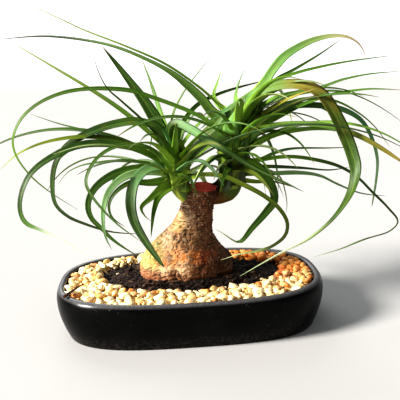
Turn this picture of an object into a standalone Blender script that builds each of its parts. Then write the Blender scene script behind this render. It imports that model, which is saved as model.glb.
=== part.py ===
"""Ponytail palm bonsai: a swollen corky trunk with two leafy shoots, in an oval pot of soil and gravel.

Sizes are in millimetres and become metres when a mesh is made. +Z is up, the long side of the pot lies
along X, and the origin is the middle of the pot's flat underside.
"""
import math
import random

import bmesh
import bpy
from mathutils import Matrix, Quaternion, Vector

MM = 0.001
GAP = 0.3                        # clearance between solids that touch

# Pot: an oval with a curved wall and a rounded lip
POT_HALF_LENGTH = 124.0
POT_HALF_WIDTH = 82.0
POT_HEIGHT = 43.0
POT_FLOOR = 7.0
LIP_SQUARENESS = 2.7             # exponent of the oval: 2 is an ellipse, more is squarer
FOOT_SQUARENESS = 3.2
POT_SIDES = 48
DRAIN_RADIUS = 6.0
DRAIN_SIDES = 16
DRAIN_AT = (-62.0, 62.0)
# (how far the wall stands in from the widest oval, height), up the outside, over the lip, down inside
POT_WALL = [(11.0, 0.0), (9.4, 1.4), (5.2, 11.0), (1.6, 22.0), (0.0, 32.0), (0.4, 38.5), (2.0, 42.2),
            (4.0, POT_HEIGHT), (6.4, 42.4), (7.8, 40.0), (9.0, 33.0), (12.5, 14.0), (16.0, 8.6),
            (21.0, POT_FLOOR)]

# Soil and gravel
SOIL_EDGE = 32.0                 # soil under the gravel
SOIL_AT_GRAVEL = 37.5            # bare soil where it meets the gravel
SOIL_AT_TRUNK = 44.5
SOIL_LUMP = 1.1                  # height of its lumps, in waves of these numbers per mm across X and Y
SOIL_WAVES = ((0.31, 0.37), (0.53, 0.44))
SOIL_FLOOR_INSET = 22.0
SOIL_WALL_HEIGHTS = (9.5, 14.0, SOIL_EDGE)
SOIL_STEPS = (1.0, 0.85, 0.65, 0.45, 0.25, 0.0)  # rings of the bare soil, from the gravel to the trunk
BARE_CENTRE = (1.0, 8.5)         # bare patch of soil round the trunk
BARE_HALF_LENGTH = 84.0
BARE_HALF_WIDTH = 46.0
BARE_SQUARENESS = 2.6
BARE_TURN = -3.0                 # degrees: its right end lies nearer the front
BARE_WANDER = ((3, 0.6, 2.4), (7, 0.0, 1.5))     # waves of its edge: how many, phase, height
GRAVEL_BED = 35.5                # top of the gravel bed that the pebbles sit in
BED_DRAFT = 0.6                  # the bed's foot stands in this much more
PEBBLE_SIZE = 11.5
PEBBLE_SHAPE = ((0.88, 1.08), (0.72, 0.9), (0.6, 0.72))  # least and most of its length, width, height
PEBBLE_TILT = 0.3
PEBBLE_LIFT = (-0.5, 0.9)
PEBBLE_RISE = 37.6               # height of the pebbles' middles
PEBBLE_SPACING = 10.2
PEBBLE_TRIES = 9000

# Trunk: left edge, right edge, half depth, at each height
TRUNK_Y = 2.0
TRUNK_HOLE_BOTTOM = 24.0
TRUNK_BURIED = ((0.0, 0.82), (3.0, 0.95), (8.0, 1.0))    # height over the bottom, share of the foot
TRUNK_SIDES = 28
TRUNK_SQUARENESS = 2.2
TRUNK_WAVES = ((3, 0.9, 0.0, 0.035), (5, 0.0, 0.05, 0.03), (11, 0.0, 0.11, 0.014))
FULL_WAVES_AT = 46.0             # half width from which the waves (count, phase, turn, share) are full
TRUNK_RINGS = [(44, -48.0, 40.5, 32.0), (50, -48.7, 41.0, 33.0), (57, -47.0, 39.5, 32.5),
               (64, -43.0, 35.0, 31.0), (70, -38.2, 30.0, 28.5), (76, -31.5, 26.0, 26.0),
               (82, -24.8, 24.0, 23.0), (88, -18.5, 23.5, 20.0), (94, -13.0, 23.5, 17.8),
               (100, -9.0, 24.0, 16.5), (106, -6.0, 25.0, 15.8), (112, -4.5, 27.0, 15.5),
               (118, -3.5, 29.0, 15.3), (123, -1.0, 30.0, 14.5), (126, 1.5, 29.0, 13.0)]
CUT_TILT = (0.07, -0.16)         # the sawn top falls this much to the right and to the front, per mm
FOOT_RING = TRUNK_RINGS[0]

# Shoots: points up each stem, as (x, y, z, radius); the first lies in its socket in the trunk
LEFT_STEM = [(5, 1, 111, 6.0), (1, 0, 117, 7.5), (-4, -1, 125, 8.7), (-8, -1, 136, 9.0),
             (-9, 0, 148, 7.5), (-10, 1, 160, 4.5)]
RIGHT_STEM = [(19, 3, 113, 6.0), (28, 4, 115, 7.2), (37, 5, 119.5, 10.5), (43, 5, 130, 11.5),
              (45, 5, 144, 12.0), (47, 5, 160, 12.5), (51, 5, 178, 13.0), (58, 5, 193, 11.5),
              (66, 5, 203, 8.5), (72, 5, 209, 5.0)]
STEM_SIDES = 12

# Leaves. The traced ones are set out on a front drawing: a view of the plant, 400 units wide, from an
# eye 600 mm away. A point on it lies somewhere along one line of sight, and its depth (Y) says where.
VIEW_TARGET = Vector((12.6, 0.0, 113.8))
VIEW_DISTANCE = 600.0
VIEW_AZIMUTH = math.radians(-4.0)
VIEW_ELEVATION = math.radians(12.4)
VIEW_ROLL = math.radians(-2.1)
DRAWING_SCALE = 643.5            # drawing units for a millimetre seen from a millimetre away
DRAWING_CENTRE = 200.0
LEAF_SEGMENT = 20.0              # length of one straight facet of a leaf
CURVE_STEPS = 12                 # fine steps between two given points of a curve
LEAF_TAPER = (1.4, 0.8)          # half width from the tip: a share, and the power of the way to go
LEAF_BASE = (0.25, 0.12)         # the base is wider by this share, over this share of the length
LEAF_KEEL = 0.9                  # depth of the keel under the blade
LEAF_FOLD = 0.22                 # rise of the blade's edges over its half width
LEAF_CLEARANCE = 1.2             # between leaves of the two shoots
LEAF_CHECKS = 7.0                # spacing of the points that are tested for it
STEM_CHECKS = 5.0
DEPTH_START = 0.18               # share of its depth that a traced leaf has at its first drawn point
SLIDES = (0, 8, -8, 16, -16, 24, -24, 32, -32, 42, -42, 52, -52, 64, -64, 76, -76, 90, -90)
LEAF_FLOOR = 60.0                # the crowns' other leaves hang no lower
FRONT_FLOOR = 0.4                # and stay this much higher for each mm that they reach to the front
TRUNK_VIEW = (-32.0, 48.0, 136.0)                # left, right and top of the trunk's view, kept open
TRUNK_VIEW_FROM = -12.0                          # for leaves nearer to the viewer than this
TRUNK_MARGINS = (3.0, 4.0)                       # sideways and in height
ROOTED_POINTS = 3                                # first points of a leaf, which may be at the trunk
# Windows of the front drawing (left, top, right, bottom) that show no more than the traced leaves
OPEN_VIEWS = [(204, 55, 252, 97), (45, 96, 140, 118), (160, 84, 204, 112), (0, 45, 95, 84),
              (95, 60, 150, 84), (262, 55, 350, 76), (0, 176, 36, 240), (60, 200, 100, 250),
              (286, 176, 345, 235), (262, 206, 300, 250), (345, 60, 400, 84), (285, 133, 340, 145),
              (40, 132, 78, 138), (345, 200, 400, 235), (50, 113, 112, 124), (302, 149, 346, 156),
              (361, 148, 373, 235), (380, 152, 400, 200), (226, 204, 258, 245),
              (246, 194, 262, 210), (113, 184, 127, 216)]
GOLDEN_ANGLE = math.radians(137.5)
REACH_X = (-196.0, 212.0)
REACH_Y = (-148.0, 165.0)

# (height of the root on the stem, width, degrees that the upper face rolls to the front, depth of the
# tip, points on the drawing)
LEFT_TRACED = [
    (150, 12.0, 62, 25, [(163, 134), (150, 110), (125, 75), (102, 46)]),
    (155, 6.0, 60, 48, [(170, 140), (160, 110), (150, 80), (141, 57)]),
    (148, 4.5, 45, 40, [(163, 145), (150, 133), (120, 109), (90, 89), (50, 65), (8, 40)]),
    (152, 4.0, 45, -25, [(163, 142), (140, 118), (120, 100), (107, 88), (97, 68), (94, 56)]),
    (146, 6.0, 50, -20, [(160, 158), (120, 141), (80, 137), (40, 144), (15, 156), (0, 170)]),
    (144, 8.0, 50, -60, [(140, 150), (90, 144), (60, 153), (30, 175), (20, 205), (25, 222), (42, 231),
                         (60, 239), (78, 250), (94, 261)]),
    (156, 10.0, 76, -20, [(172, 143), (155, 127), (135, 122), (118, 124), (100, 129), (82, 137), (66, 148),
                          (56, 164), (53, 185), (56, 204), (68, 216), (86, 224), (108, 231), (122, 233), (140, 234)]),
    (142, 4.5, 40, -75, [(150, 148), (125, 145), (105, 152), (92, 165), (86, 182), (92, 196), (115, 222),
                         (143, 243)]),
    (140, 7.5, 70, -45, [(150, 168), (120, 172), (100, 183), (90, 196), (88, 208), (92, 219), (101, 228),
                         (112, 239), (126, 249), (140, 257)]),
    (138, 8.0, 45, -68, [(150, 172), (125, 177), (110, 190), (104, 205), (103, 222), (106, 238),
                         (112, 250)]),
    (136, 9.5, 55, -64, [(165, 167), (148, 169), (136, 180), (131, 200), (134, 220), (146, 242),
                         (158, 259), (164, 267)]),
    (132, 6.5, 40, -82, [(163, 188), (150, 199), (141, 208), (144, 215), (151, 221)]),
    (132, 5.5, 50, -55, [(160, 195), (154, 210), (152, 225), (151, 238)]),
    (134, 6.0, 55, -15, [(150, 183), (130, 183), (114, 194), (109, 206), (112, 217), (125, 227)]),
    (146, 3.6, 30, 62, [(150, 150), (120, 140), (88, 131), (60, 124), (30, 114)]),
    (140, 4.4, 30, 20, [(150, 164), (115, 161), (95, 163), (80, 166), (67, 173), (58, 184)]),
    (130, 6.5, 40, -74, [(190, 179), (205, 175), (225, 177), (245, 186), (265, 197), (280, 210),
                         (287, 223), (285, 235), (272, 246), (258, 251), (240, 254), (221, 260)]),
    (154, 8.0, 45, -80, [(169, 130), (175, 123), (190, 129), (205, 138), (230, 153), (255, 168),
                         (292, 186), (304, 192)]),
    (142, 11.0, 35, -78, [(185, 158), (195, 148), (210, 143), (222, 146)]),
    (158, 3.4, 60, 70, [(172, 120), (182, 95), (200, 70), (214, 53)]),
    (156, 4.2, 40, 68, [(180, 128), (196, 106), (216, 95), (240, 87), (272, 79)]),
]
RIGHT_TRACED = [
    (172, 13.5, 74, -120, [(250, 100), (262, 91), (275, 87), (290, 85), (303, 86), (314, 90), (324, 98),
                           (334, 113), (343, 131), (351, 150), (356, 170), (351, 193), (336, 216),
                           (310, 238), (280, 253), (240, 276)]),
    (196, 8.5, 55, 25, [(264, 84), (273, 70), (284, 57), (297, 48), (314, 40), (332, 36), (347, 37),
                        (358, 43), (364, 52), (366, 61)]),
    (192, 4.0, 40, 62, [(270, 84), (285, 77), (300, 72), (320, 67), (345, 62), (365, 59), (396, 55)]),
    (194, 4.0, 40, 95, [(270, 84), (297, 68), (320, 54), (343, 38)]),
    (186, 5.0, 35, -35, [(275, 98), (300, 92), (322, 87), (345, 79), (370, 74), (402, 71)]),
    (168, 5.5, 40, 5, [(270, 122), (300, 106), (330, 95), (345, 92), (370, 89), (404, 90)]),
    (176, 6.5, 40, -55, [(258, 118), (275, 106), (300, 94), (318, 88)]),
    (160, 7.0, 45, -70, [(250, 131), (270, 126), (300, 124), (330, 127), (360, 137), (380, 148),
                         (402, 162)]),
    (150, 7.5, 35, 15, [(255, 145), (275, 135), (300, 130), (325, 129), (345, 132), (365, 141), (385, 152)]),
    (180, 7.5, 45, 10, [(262, 120), (290, 107), (320, 106), (345, 111), (362, 122), (372, 140),
                        (377, 160), (376, 180), (372, 206)]),
    (184, 4.0, 30, 45, [(270, 104), (300, 94), (325, 91), (345, 92), (365, 99), (385, 110), (405, 124)]),
    (182, 4.5, 35, -15, [(275, 108), (305, 99), (335, 101), (360, 114), (375, 127), (390, 147)]),
    (142, 5.0, 35, -10, [(262, 160), (290, 157), (315, 160), (340, 167), (358, 178), (372, 192),
                         (388, 208), (398, 222), (390, 231), (365, 239), (340, 249), (310, 258)]),
    (140, 5.5, 35, 105, [(258, 167), (300, 168), (330, 170), (350, 167)]),
    (146, 4.2, 30, 115, [(258, 160), (275, 153), (290, 149), (330, 148), (360, 147)]),
    (136, 5.5, 40, 65, [(265, 174), (300, 173), (320, 176), (337, 184), (360, 193), (386, 196)]),
    (144, 8.5, 40, -60, [(248, 165), (262, 172), (271, 185), (274, 200), (266, 212), (252, 228),
                         (240, 242), (233, 240), (224, 234), (214, 228)]),
    (156, 3.4, 40, -45, [(265, 132), (285, 133), (298, 141), (308, 153), (315, 166)]),
    (130, 4.6, 35, 35, [(255, 182), (275, 182), (293, 187)]),
    (134, 5.0, 40, 48, [(262, 170), (280, 177), (285, 190), (287, 205), (286, 213)]),
    (176, 10.5, 55, 15, [(215, 116), (200, 98), (170, 73), (140, 57), (115, 47), (90, 41), (45, 36),
                         (0, 39)]),
    (168, 6.0, 45, -38, [(212, 124), (190, 112), (150, 97), (130, 91), (90, 89), (60, 94), (35, 106),
                         (20, 121), (13, 140), (16, 155), (30, 175), (50, 192), (78, 210)]),
    (190, 4.6, 60, 50, [(222, 108), (214, 96), (217, 84), (222, 69)]),
    (192, 4.6, 60, 72, [(238, 105), (236, 96), (238, 85), (245, 68)]),
    (188, 3.6, 30, 30, [(228, 112), (200, 88), (165, 64), (125, 46), (84, 30), (50, 14), (20, 1)]),
    (196, 5.0, 60, -20, [(246, 101), (234, 106), (220, 114), (209, 122), (199, 130)]),
]
# The rest of each crown: (how many, first and last root height, greatest height, seed of its draws)
LEFT_CROWN = (34, 156, 128, 196, 11)
RIGHT_CROWN = (38, 202, 132, 232, 29)
CROWN_WIDTHS = (5.0, 9.0)
CROWN_LENGTHS = (170.0, 285.0)
CROWN_TRIES = 60
CROWN_RISE = (82.0, 78.0, 9.0)   # degrees at the top of a crown, less at its foot, and give or take
CROWN_DROOP = (60.0, 120.0)      # degrees that a leaf bends over
CROWN_ROLL = 30.0
HEADING_SPREAD = 0.35            # radians either way
NEXT_HEADING = 0.11              # each further try turns by this much
NEXT_LENGTH = 0.006              # and is this share shorter
FRONT_DROOP = 0.5                # leaves to the viewer bend this share less
FRONT_LENGTH = 0.38              # and are this share shorter
ROUTE_STEPS = 9
DROOP_POWER = 1.25
UPRIGHT = 0.05                   # a leaf this near to upright takes its side from X


def clear_scene():
    for thing in list(bpy.context.scene.objects):
        bpy.data.objects.remove(thing, do_unlink=True)


def new_collection(name):
    collection = bpy.data.collections.new(name)
    bpy.context.scene.collection.children.link(collection)
    return collection


def make_material(name, colour, *, roughness, coat=0.0):
    """A plain surface with the part's own colour."""
    material = bpy.data.materials.new(name)
    material.use_nodes = True
    shader = material.node_tree.nodes["Principled BSDF"]
    shader.inputs["Base Color"].default_value = (*colour, 1.0)
    shader.inputs["Roughness"].default_value = roughness
    shader.inputs["Coat Weight"].default_value = coat
    return material


def add_object(name, bm, collection, material=None):
    """Turn a bmesh in millimetres into an object in metres."""
    bmesh.ops.recalc_face_normals(bm, faces=bm.faces)
    bmesh.ops.scale(bm, vec=(MM, MM, MM), verts=bm.verts)
    mesh = bpy.data.meshes.new(name)
    bm.to_mesh(mesh)
    bm.free()
    thing = bpy.data.objects.new(name, mesh)
    if material:
        mesh.materials.append(material)
    collection.objects.link(thing)
    return thing


def loft(rings, ring_closed=False, pointed=False):
    """A closed skin over rings of equal length. ring_closed joins the last ring to the first, and
    pointed draws the last one to a tip."""
    bm = bmesh.new()
    rows = [[bm.verts.new(point) for point in ring] for ring in rings]
    sides = len(rows[0])
    pairs = list(zip(rows, rows[1:]))
    if ring_closed:
        pairs.append((rows[-1], rows[0]))
    for low, high in pairs:
        for i in range(sides):
            j = (i + 1) % sides
            bm.faces.new((low[i], low[j], high[j], high[i]))
    if not ring_closed:
        bm.faces.new(rows[0][::-1])
        if pointed:
            tip = bm.verts.new(sum((Vector(p) for p in rings[-1]), Vector()) / sides + pointed)
            for i in range(sides):
                bm.faces.new((rows[-1][i], rows[-1][(i + 1) % sides], tip))
        else:
            bm.faces.new(rows[-1])
    return bm


def oval_radius(angle, half_length, half_width, squareness):
    """Distance from the middle of an oval to its edge, at an angle."""
    across = abs(math.cos(angle) / half_length) ** squareness
    along = abs(math.sin(angle) / half_width) ** squareness
    return (across + along) ** (-1.0 / squareness)


def oval_ring(inset, z, squareness, sides=POT_SIDES):
    ring = []
    for i in range(sides):
        angle = 2 * math.pi * i / sides
        r = oval_radius(angle, POT_HALF_LENGTH - inset, POT_HALF_WIDTH - inset, squareness)
        ring.append(Vector((r * math.cos(angle), r * math.sin(angle), z)))
    return ring


def wall_squareness(z):
    return FOOT_SQUARENESS + (LIP_SQUARENESS - FOOT_SQUARENESS) * min(z / POT_HEIGHT, 1.0)


def inner_wall_inset(z):
    """How far the inside of the pot's wall stands in, at a height."""
    inside = POT_WALL[POT_WALL.index((4.0, POT_HEIGHT)):]
    for (inset_a, high), (inset_b, low) in zip(inside, inside[1:]):
        if low <= z <= high:
            return inset_a + (inset_b - inset_a) * (high - z) / (high - low)
    return inside[-1][0]


def build_pot(collection, cutters):
    bm = loft([oval_ring(inset, z, wall_squareness(z)) for inset, z in POT_WALL])
    pot = add_object("pot", bm, collection,
                     make_material("black_glaze", (0.012, 0.012, 0.013), roughness=0.35, coat=0.3))
    for i, x in enumerate(DRAIN_AT):
        bpy.ops.mesh.primitive_cylinder_add(vertices=DRAIN_SIDES, radius=DRAIN_RADIUS * MM,
                                            depth=4 * POT_FLOOR * MM, location=(x * MM, 0, 0))
        drill = bpy.context.active_object
        drill.name = f"drain_cutter_{i + 1}"
        for home in drill.users_collection:
            home.objects.unlink(drill)
        cutters.objects.link(drill)
        drill.hide_render = True
        drill.display_type = "WIRE"
        cut = pot.modifiers.new(f"drain_{i + 1}", "BOOLEAN")
        cut.operation = "DIFFERENCE"
        cut.solver = "EXACT"
        cut.object = drill
    return pot


def bare_radius(angle):
    """From the middle of the bare patch of soil to its wandering edge."""
    r = oval_radius(angle - math.radians(BARE_TURN), BARE_HALF_LENGTH, BARE_HALF_WIDTH, BARE_SQUARENESS)
    return r + sum(high * math.sin(count * angle + phase) for count, phase, high in BARE_WANDER)


def bare_ring(inset, z):
    """Edge of the bare patch, drawn in by an inset."""
    ring = []
    for i in range(POT_SIDES):
        angle = 2 * math.pi * i / POT_SIDES
        r = bare_radius(angle) - inset
        ring.append(Vector((BARE_CENTRE[0] + r * math.cos(angle), BARE_CENTRE[1] + r * math.sin(angle), z)))
    return ring


def trunk_ring(left, right, half_depth, z, grow=0.0, sides=TRUNK_SIDES):
    """One section of the trunk: an oval with the lobes and furrows of its bark."""
    ring = []
    middle = (left + right) / 2
    half_width = (right - left) / 2
    spread = min(1.0, half_width / FULL_WAVES_AT) ** 2
    for i in range(sides):
        angle = 2 * math.pi * i / sides
        waves = sum(high * math.sin(count * angle + phase + turn * z)
                    for count, phase, turn, high in TRUNK_WAVES)
        r = oval_radius(angle, half_width, half_depth, TRUNK_SQUARENESS) * (1 + spread * waves) + grow
        ring.append(Vector((middle + r * math.cos(angle), TRUNK_Y + r * math.sin(angle), z)))
    return ring


def hole_ring(z, sides):
    """The plain hole in the soil, a gap wider than the foot of the trunk."""
    foot_z, left, right, half_depth = FOOT_RING
    ring = trunk_ring(left, right, half_depth, foot_z, 1.5 * GAP, sides)
    return [Vector((point.x, point.y, z)) for point in ring]


def soil_height(outward, x, y):
    """Height of the bare soil: outward is 0 at the trunk and 1 at the gravel."""
    height = SOIL_AT_TRUNK + (SOIL_AT_GRAVEL - SOIL_AT_TRUNK) * outward
    (wave_x, wave_y), (fine_x, fine_y) = SOIL_WAVES
    lumps = math.sin(wave_x * x) * math.cos(wave_y * y) + math.sin(fine_x * x - fine_y * y) / 2
    return height + SOIL_LUMP * lumps * 4 * outward * (1 - outward)


def build_soil(collection):
    floor_z = POT_FLOOR + GAP
    rings = [oval_ring(SOIL_FLOOR_INSET, floor_z, wall_squareness(floor_z))]
    for z in SOIL_WALL_HEIGHTS:
        rings.append(oval_ring(inner_wall_inset(z) + 2 * GAP, z, wall_squareness(z)))
    edge = bare_ring(2 * GAP, SOIL_EDGE)
    rings.append(edge)
    hole = hole_ring(SOIL_AT_TRUNK, POT_SIDES)
    for step in SOIL_STEPS:
        ring = []
        for outer, inner in zip(edge, hole):
            spot = inner.lerp(outer, step)
            spot.z = soil_height(step, spot.x, spot.y)
            ring.append(spot)
        rings.append(ring)
    rings.append(hole_ring(TRUNK_HOLE_BOTTOM, POT_SIDES))
    return add_object("soil", loft(rings), collection,
                      make_material("potting_soil", (0.03, 0.02, 0.014), roughness=0.95))


def inside_oval(x, y, inset, z):
    angle = math.atan2(y, x)
    return math.hypot(x, y) < oval_radius(angle, POT_HALF_LENGTH - inset, POT_HALF_WIDTH - inset,
                                          wall_squareness(z))


def outside_bare(x, y, margin):
    dx, dy = x - BARE_CENTRE[0], y - BARE_CENTRE[1]
    return math.hypot(dx, dy) > bare_radius(math.atan2(dy, dx)) + margin


def pebble_spots(rng):
    """Middles of the pebbles: random spots on the bed, no two nearer than the spacing."""
    spots = []
    edge = inner_wall_inset(PEBBLE_RISE) + PEBBLE_SIZE / 2 + 2 * GAP
    for _ in range(PEBBLE_TRIES):
        x = rng.uniform(-POT_HALF_LENGTH, POT_HALF_LENGTH)
        y = rng.uniform(-POT_HALF_WIDTH, POT_HALF_WIDTH)
        if not inside_oval(x, y, edge, PEBBLE_RISE) or not outside_bare(x, y, PEBBLE_SIZE / 2):
            continue
        if all(math.hypot(x - a, y - b) > PEBBLE_SPACING for a, b in spots):
            spots.append((x, y))
    return spots


def drop_hollows(mesh):
    """Keep the one main skin: fusing can seal small hollows between blades, or leave a scrap."""
    bm = bmesh.new()
    bm.from_mesh(mesh)
    bmesh.ops.triangulate(bm, faces=bm.faces)
    waiting = set(bm.verts)
    skins = []
    while waiting:
        front = [waiting.pop()]
        skin = set(front)
        while front:
            for edge in front.pop().link_edges:
                for vertex in edge.verts:
                    if vertex not in skin:
                        skin.add(vertex)
                        front.append(vertex)
        waiting -= skin
        skins.append(skin)
    main = max(skins, key=len)
    bmesh.ops.delete(bm, geom=[v for skin in skins if skin is not main for v in skin], context="VERTS")
    bm.to_mesh(mesh)
    bm.free()


def union_all(core, pieces, name):
    """Fuse every object of a collection into the core, then drop the pieces."""
    fuse = core.modifiers.new("fuse", "BOOLEAN")
    fuse.operation = "UNION"
    fuse.operand_type = "COLLECTION"
    fuse.collection = pieces
    fuse.solver = "EXACT"
    depsgraph = bpy.context.evaluated_depsgraph_get()
    mesh = bpy.data.meshes.new_from_object(core.evaluated_get(depsgraph))
    core.modifiers.clear()
    drop_hollows(mesh)
    core.data = mesh
    mesh.name = name
    for piece in list(pieces.objects):
        bpy.data.objects.remove(piece, do_unlink=True)
    bpy.data.collections.remove(pieces)
    return core


def build_gravel(collection):
    bed_z = SOIL_EDGE + GAP
    inset = inner_wall_inset(GRAVEL_BED) + 2 * GAP
    rings = [oval_ring(inset + BED_DRAFT, bed_z, wall_squareness(bed_z)),
             oval_ring(inset, GRAVEL_BED, wall_squareness(GRAVEL_BED)),
             bare_ring(-GAP, GRAVEL_BED), bare_ring(-GAP, bed_z)]
    gravel = add_object("gravel", loft(rings, ring_closed=True), collection,
                        make_material("cream_pebbles", (0.72, 0.55, 0.30), roughness=0.6))
    rng = random.Random(5)
    heap = new_collection("pebbles")
    for x, y in pebble_spots(rng):
        bm = bmesh.new()
        bmesh.ops.create_icosphere(bm, subdivisions=1, radius=PEBBLE_SIZE / 2)
        shape = [rng.uniform(*limits) for limits in PEBBLE_SHAPE]
        turn = Matrix.Rotation(rng.uniform(0, math.pi), 3, "Z")
        tilt = Matrix.Rotation(rng.uniform(-PEBBLE_TILT, PEBBLE_TILT), 3, "X")
        bmesh.ops.scale(bm, vec=shape, verts=bm.verts)
        bmesh.ops.rotate(bm, matrix=tilt @ turn, verts=bm.verts)
        bmesh.ops.translate(bm, vec=(x, y, PEBBLE_RISE + rng.uniform(*PEBBLE_LIFT)), verts=bm.verts)
        add_object("pebble", bm, heap)
    return union_all(gravel, heap, "gravel")


def stem_rings(stem, grow=0.0, from_point=0):
    """Round sections square to the run of a stem."""
    points = [Vector(row[:3]) for row in stem]
    rings = []
    for k in range(from_point, len(stem)):
        before = points[max(k - 1, 0)]
        after = points[min(k + 1, len(stem) - 1)]
        along = (after - before).normalized()
        side = along.cross(Vector((0, 1, 0))).normalized()
        front = along.cross(side)
        r = stem[k][3] + grow
        ring = []
        for i in range(STEM_SIDES):
            angle = 2 * math.pi * i / STEM_SIDES
            ring.append(points[k] + side * (r * math.cos(angle)) + front * (r * math.sin(angle)))
        rings.append(ring)
    return rings


def build_trunk(collection, cutters):
    bottom = TRUNK_HOLE_BOTTOM + GAP
    foot_z, left, right, half_depth = FOOT_RING
    buried = [Vector((p.x, p.y, 0)) for p in trunk_ring(left, right, half_depth, foot_z)]
    middle = sum(buried, Vector()) / len(buried)
    rings = []
    for rise, share in TRUNK_BURIED:
        rings.append([middle.lerp(p, share) + Vector((0, 0, bottom + rise)) for p in buried])
    for z, left, right, half_depth in TRUNK_RINGS:
        ring = trunk_ring(left, right, half_depth, z)
        if (z, left, right, half_depth) == TRUNK_RINGS[-1]:
            for point in ring:
                point.z -= CUT_TILT[0] * (point.x - (left + right) / 2) + CUT_TILT[1] * (point.y - TRUNK_Y)
        rings.append(ring)
    trunk = add_object("trunk", loft(rings), collection,
                       make_material("corky_bark", (0.30, 0.15, 0.065), roughness=0.85))
    for side, stem in (("left", LEFT_STEM), ("right", RIGHT_STEM)):
        socket = add_object(f"{side}_socket_cutter", loft(stem_rings(stem, GAP)), cutters)
        start = Vector(stem[0][:3]) * MM
        out = (Vector(stem[1][:3]) * MM - start).normalized()
        for vertex in socket.data.vertices[:STEM_SIDES]:
            vertex.co -= out * GAP * MM
        socket.hide_render = True
        socket.display_type = "WIRE"
        cut = trunk.modifiers.new(f"{side}_socket", "BOOLEAN")
        cut.operation = "DIFFERENCE"
        cut.solver = "EXACT"
        cut.object = socket
    return trunk


def drawing_axes():
    """Axes of the front drawing: to the eye, to its right and up it."""
    flat = math.cos(VIEW_ELEVATION)
    to_eye = Vector((math.sin(VIEW_AZIMUTH) * flat, -math.cos(VIEW_AZIMUTH) * flat,
                     math.sin(VIEW_ELEVATION)))
    right = Vector((math.cos(VIEW_AZIMUTH), math.sin(VIEW_AZIMUTH), 0.0))
    turn = Matrix.Rotation(VIEW_ROLL, 3, to_eye)
    return to_eye, turn @ right, turn @ to_eye.cross(right)


def from_drawing(u, v, depth):
    """The point at a depth (Y) that the front drawing shows at u, v."""
    to_eye, right, up = drawing_axes()
    eye = VIEW_TARGET + to_eye * VIEW_DISTANCE
    sight = right * (u - DRAWING_CENTRE) + up * (DRAWING_CENTRE - v) - to_eye * DRAWING_SCALE
    return eye + sight * ((depth - eye.y) / sight.y)


def to_drawing(point):
    """Where the front drawing shows a point."""
    to_eye, right, up = drawing_axes()
    offset = point - VIEW_TARGET
    scale = DRAWING_SCALE / (VIEW_DISTANCE - offset.dot(to_eye))
    return DRAWING_CENTRE + scale * offset.dot(right), DRAWING_CENTRE - scale * offset.dot(up)


def stem_point(stem, height):
    """Middle of a stem at a height."""
    for low, high in zip(stem, stem[1:]):
        if low[2] <= height <= high[2]:
            share = (height - low[2]) / (high[2] - low[2])
            return Vector(low[:3]).lerp(Vector(high[:3]), share)
    return Vector(stem[-1][:3])


def smooth_curve(points, spacing):
    """Points at about equal spacing along a smooth curve through the given ones."""
    ends = [points[0] * 2 - points[1]] + points + [points[-1] * 2 - points[-2]]
    fine = []
    for a, b, c, d in zip(ends, ends[1:], ends[2:], ends[3:]):
        times = [0.0]
        for p, q in ((a, b), (b, c), (c, d)):
            times.append(times[-1] + math.sqrt((q - p).length))
        t0, t1, t2, t3 = times
        for k in range(CURVE_STEPS):
            t = t1 + (t2 - t1) * k / CURVE_STEPS
            ab = a.lerp(b, (t - t0) / (t1 - t0))
            bc = b.lerp(c, (t - t1) / (t2 - t1))
            cd = c.lerp(d, (t - t2) / (t3 - t2))
            abc = ab.lerp(bc, (t - t0) / (t2 - t0))
            bcd = bc.lerp(cd, (t - t1) / (t3 - t1))
            fine.append(abc.lerp(bcd, (t - t1) / (t2 - t1)))
    fine.append(points[-1])
    runs = [0.0]
    for p, q in zip(fine, fine[1:]):
        runs.append(runs[-1] + (q - p).length)
    count = max(3, round(runs[-1] / spacing))
    even = []
    k = 0
    for i in range(count + 1):
        want = runs[-1] * i / count
        while k < len(runs) - 2 and runs[k + 1] < want:
            k += 1
        share = (want - runs[k]) / (runs[k + 1] - runs[k])
        even.append(fine[k].lerp(fine[k + 1], min(share, 1.0)))
    return even


def traced_route(stem, height, tip_depth, drawn, shift):
    """Route of a leaf that is set out on the front drawing, moved along the sight lines by a shift."""
    root = stem_point(stem, height)
    turns = [0.0]
    last = drawn[0]
    for u, v in drawn[1:]:
        turns.append(turns[-1] + math.hypot(u - last[0], v - last[1]))
        last = (u, v)
    points = [root]
    for (u, v), run in zip(drawn, turns):
        share = DEPTH_START + (1 - DEPTH_START) * run / turns[-1]
        points.append(from_drawing(u, v, root.y + (tip_depth + shift - root.y) * share))
    return points


def crown_route(stem, height, heading, rise, length, droop):
    """Route of a leaf that springs up from a stem and arches over under its weight."""
    step = length / ROUTE_STEPS
    point = stem_point(stem, height)
    points = [point]
    for k in range(ROUTE_STEPS):
        along = (k + 0.5) / ROUTE_STEPS
        slope = rise - droop * along ** DROOP_POWER
        flat = math.cos(slope) * step
        point = point + Vector((flat * math.cos(heading), flat * math.sin(heading), math.sin(slope) * step))
        points.append(point)
    return points


def leaf_half_width(width, along):
    """Half width of a leaf: full from the root, drawn out to a long tip."""
    share, power = LEAF_TAPER
    wider, reach = LEAF_BASE
    return width / 2 * min(1.0, share * (1 - along) ** power) * (1 + wider * max(0.0, 1 - along / reach))


def leaf_path(points, width):
    """A leaf's route with its half width at each point, for keeping leaves apart."""
    even = smooth_curve(points, LEAF_CHECKS)
    return [(point, leaf_half_width(width, k / (len(even) - 1))) for k, point in enumerate(even)]


def near_path(path, others, clearance):
    """Whether a leaf comes too near any other path."""
    for other in others:
        for point, half in path:
            for spot, spot_half in other:
                if (point - spot).length < half + spot_half + clearance:
                    return True
    return False


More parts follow.
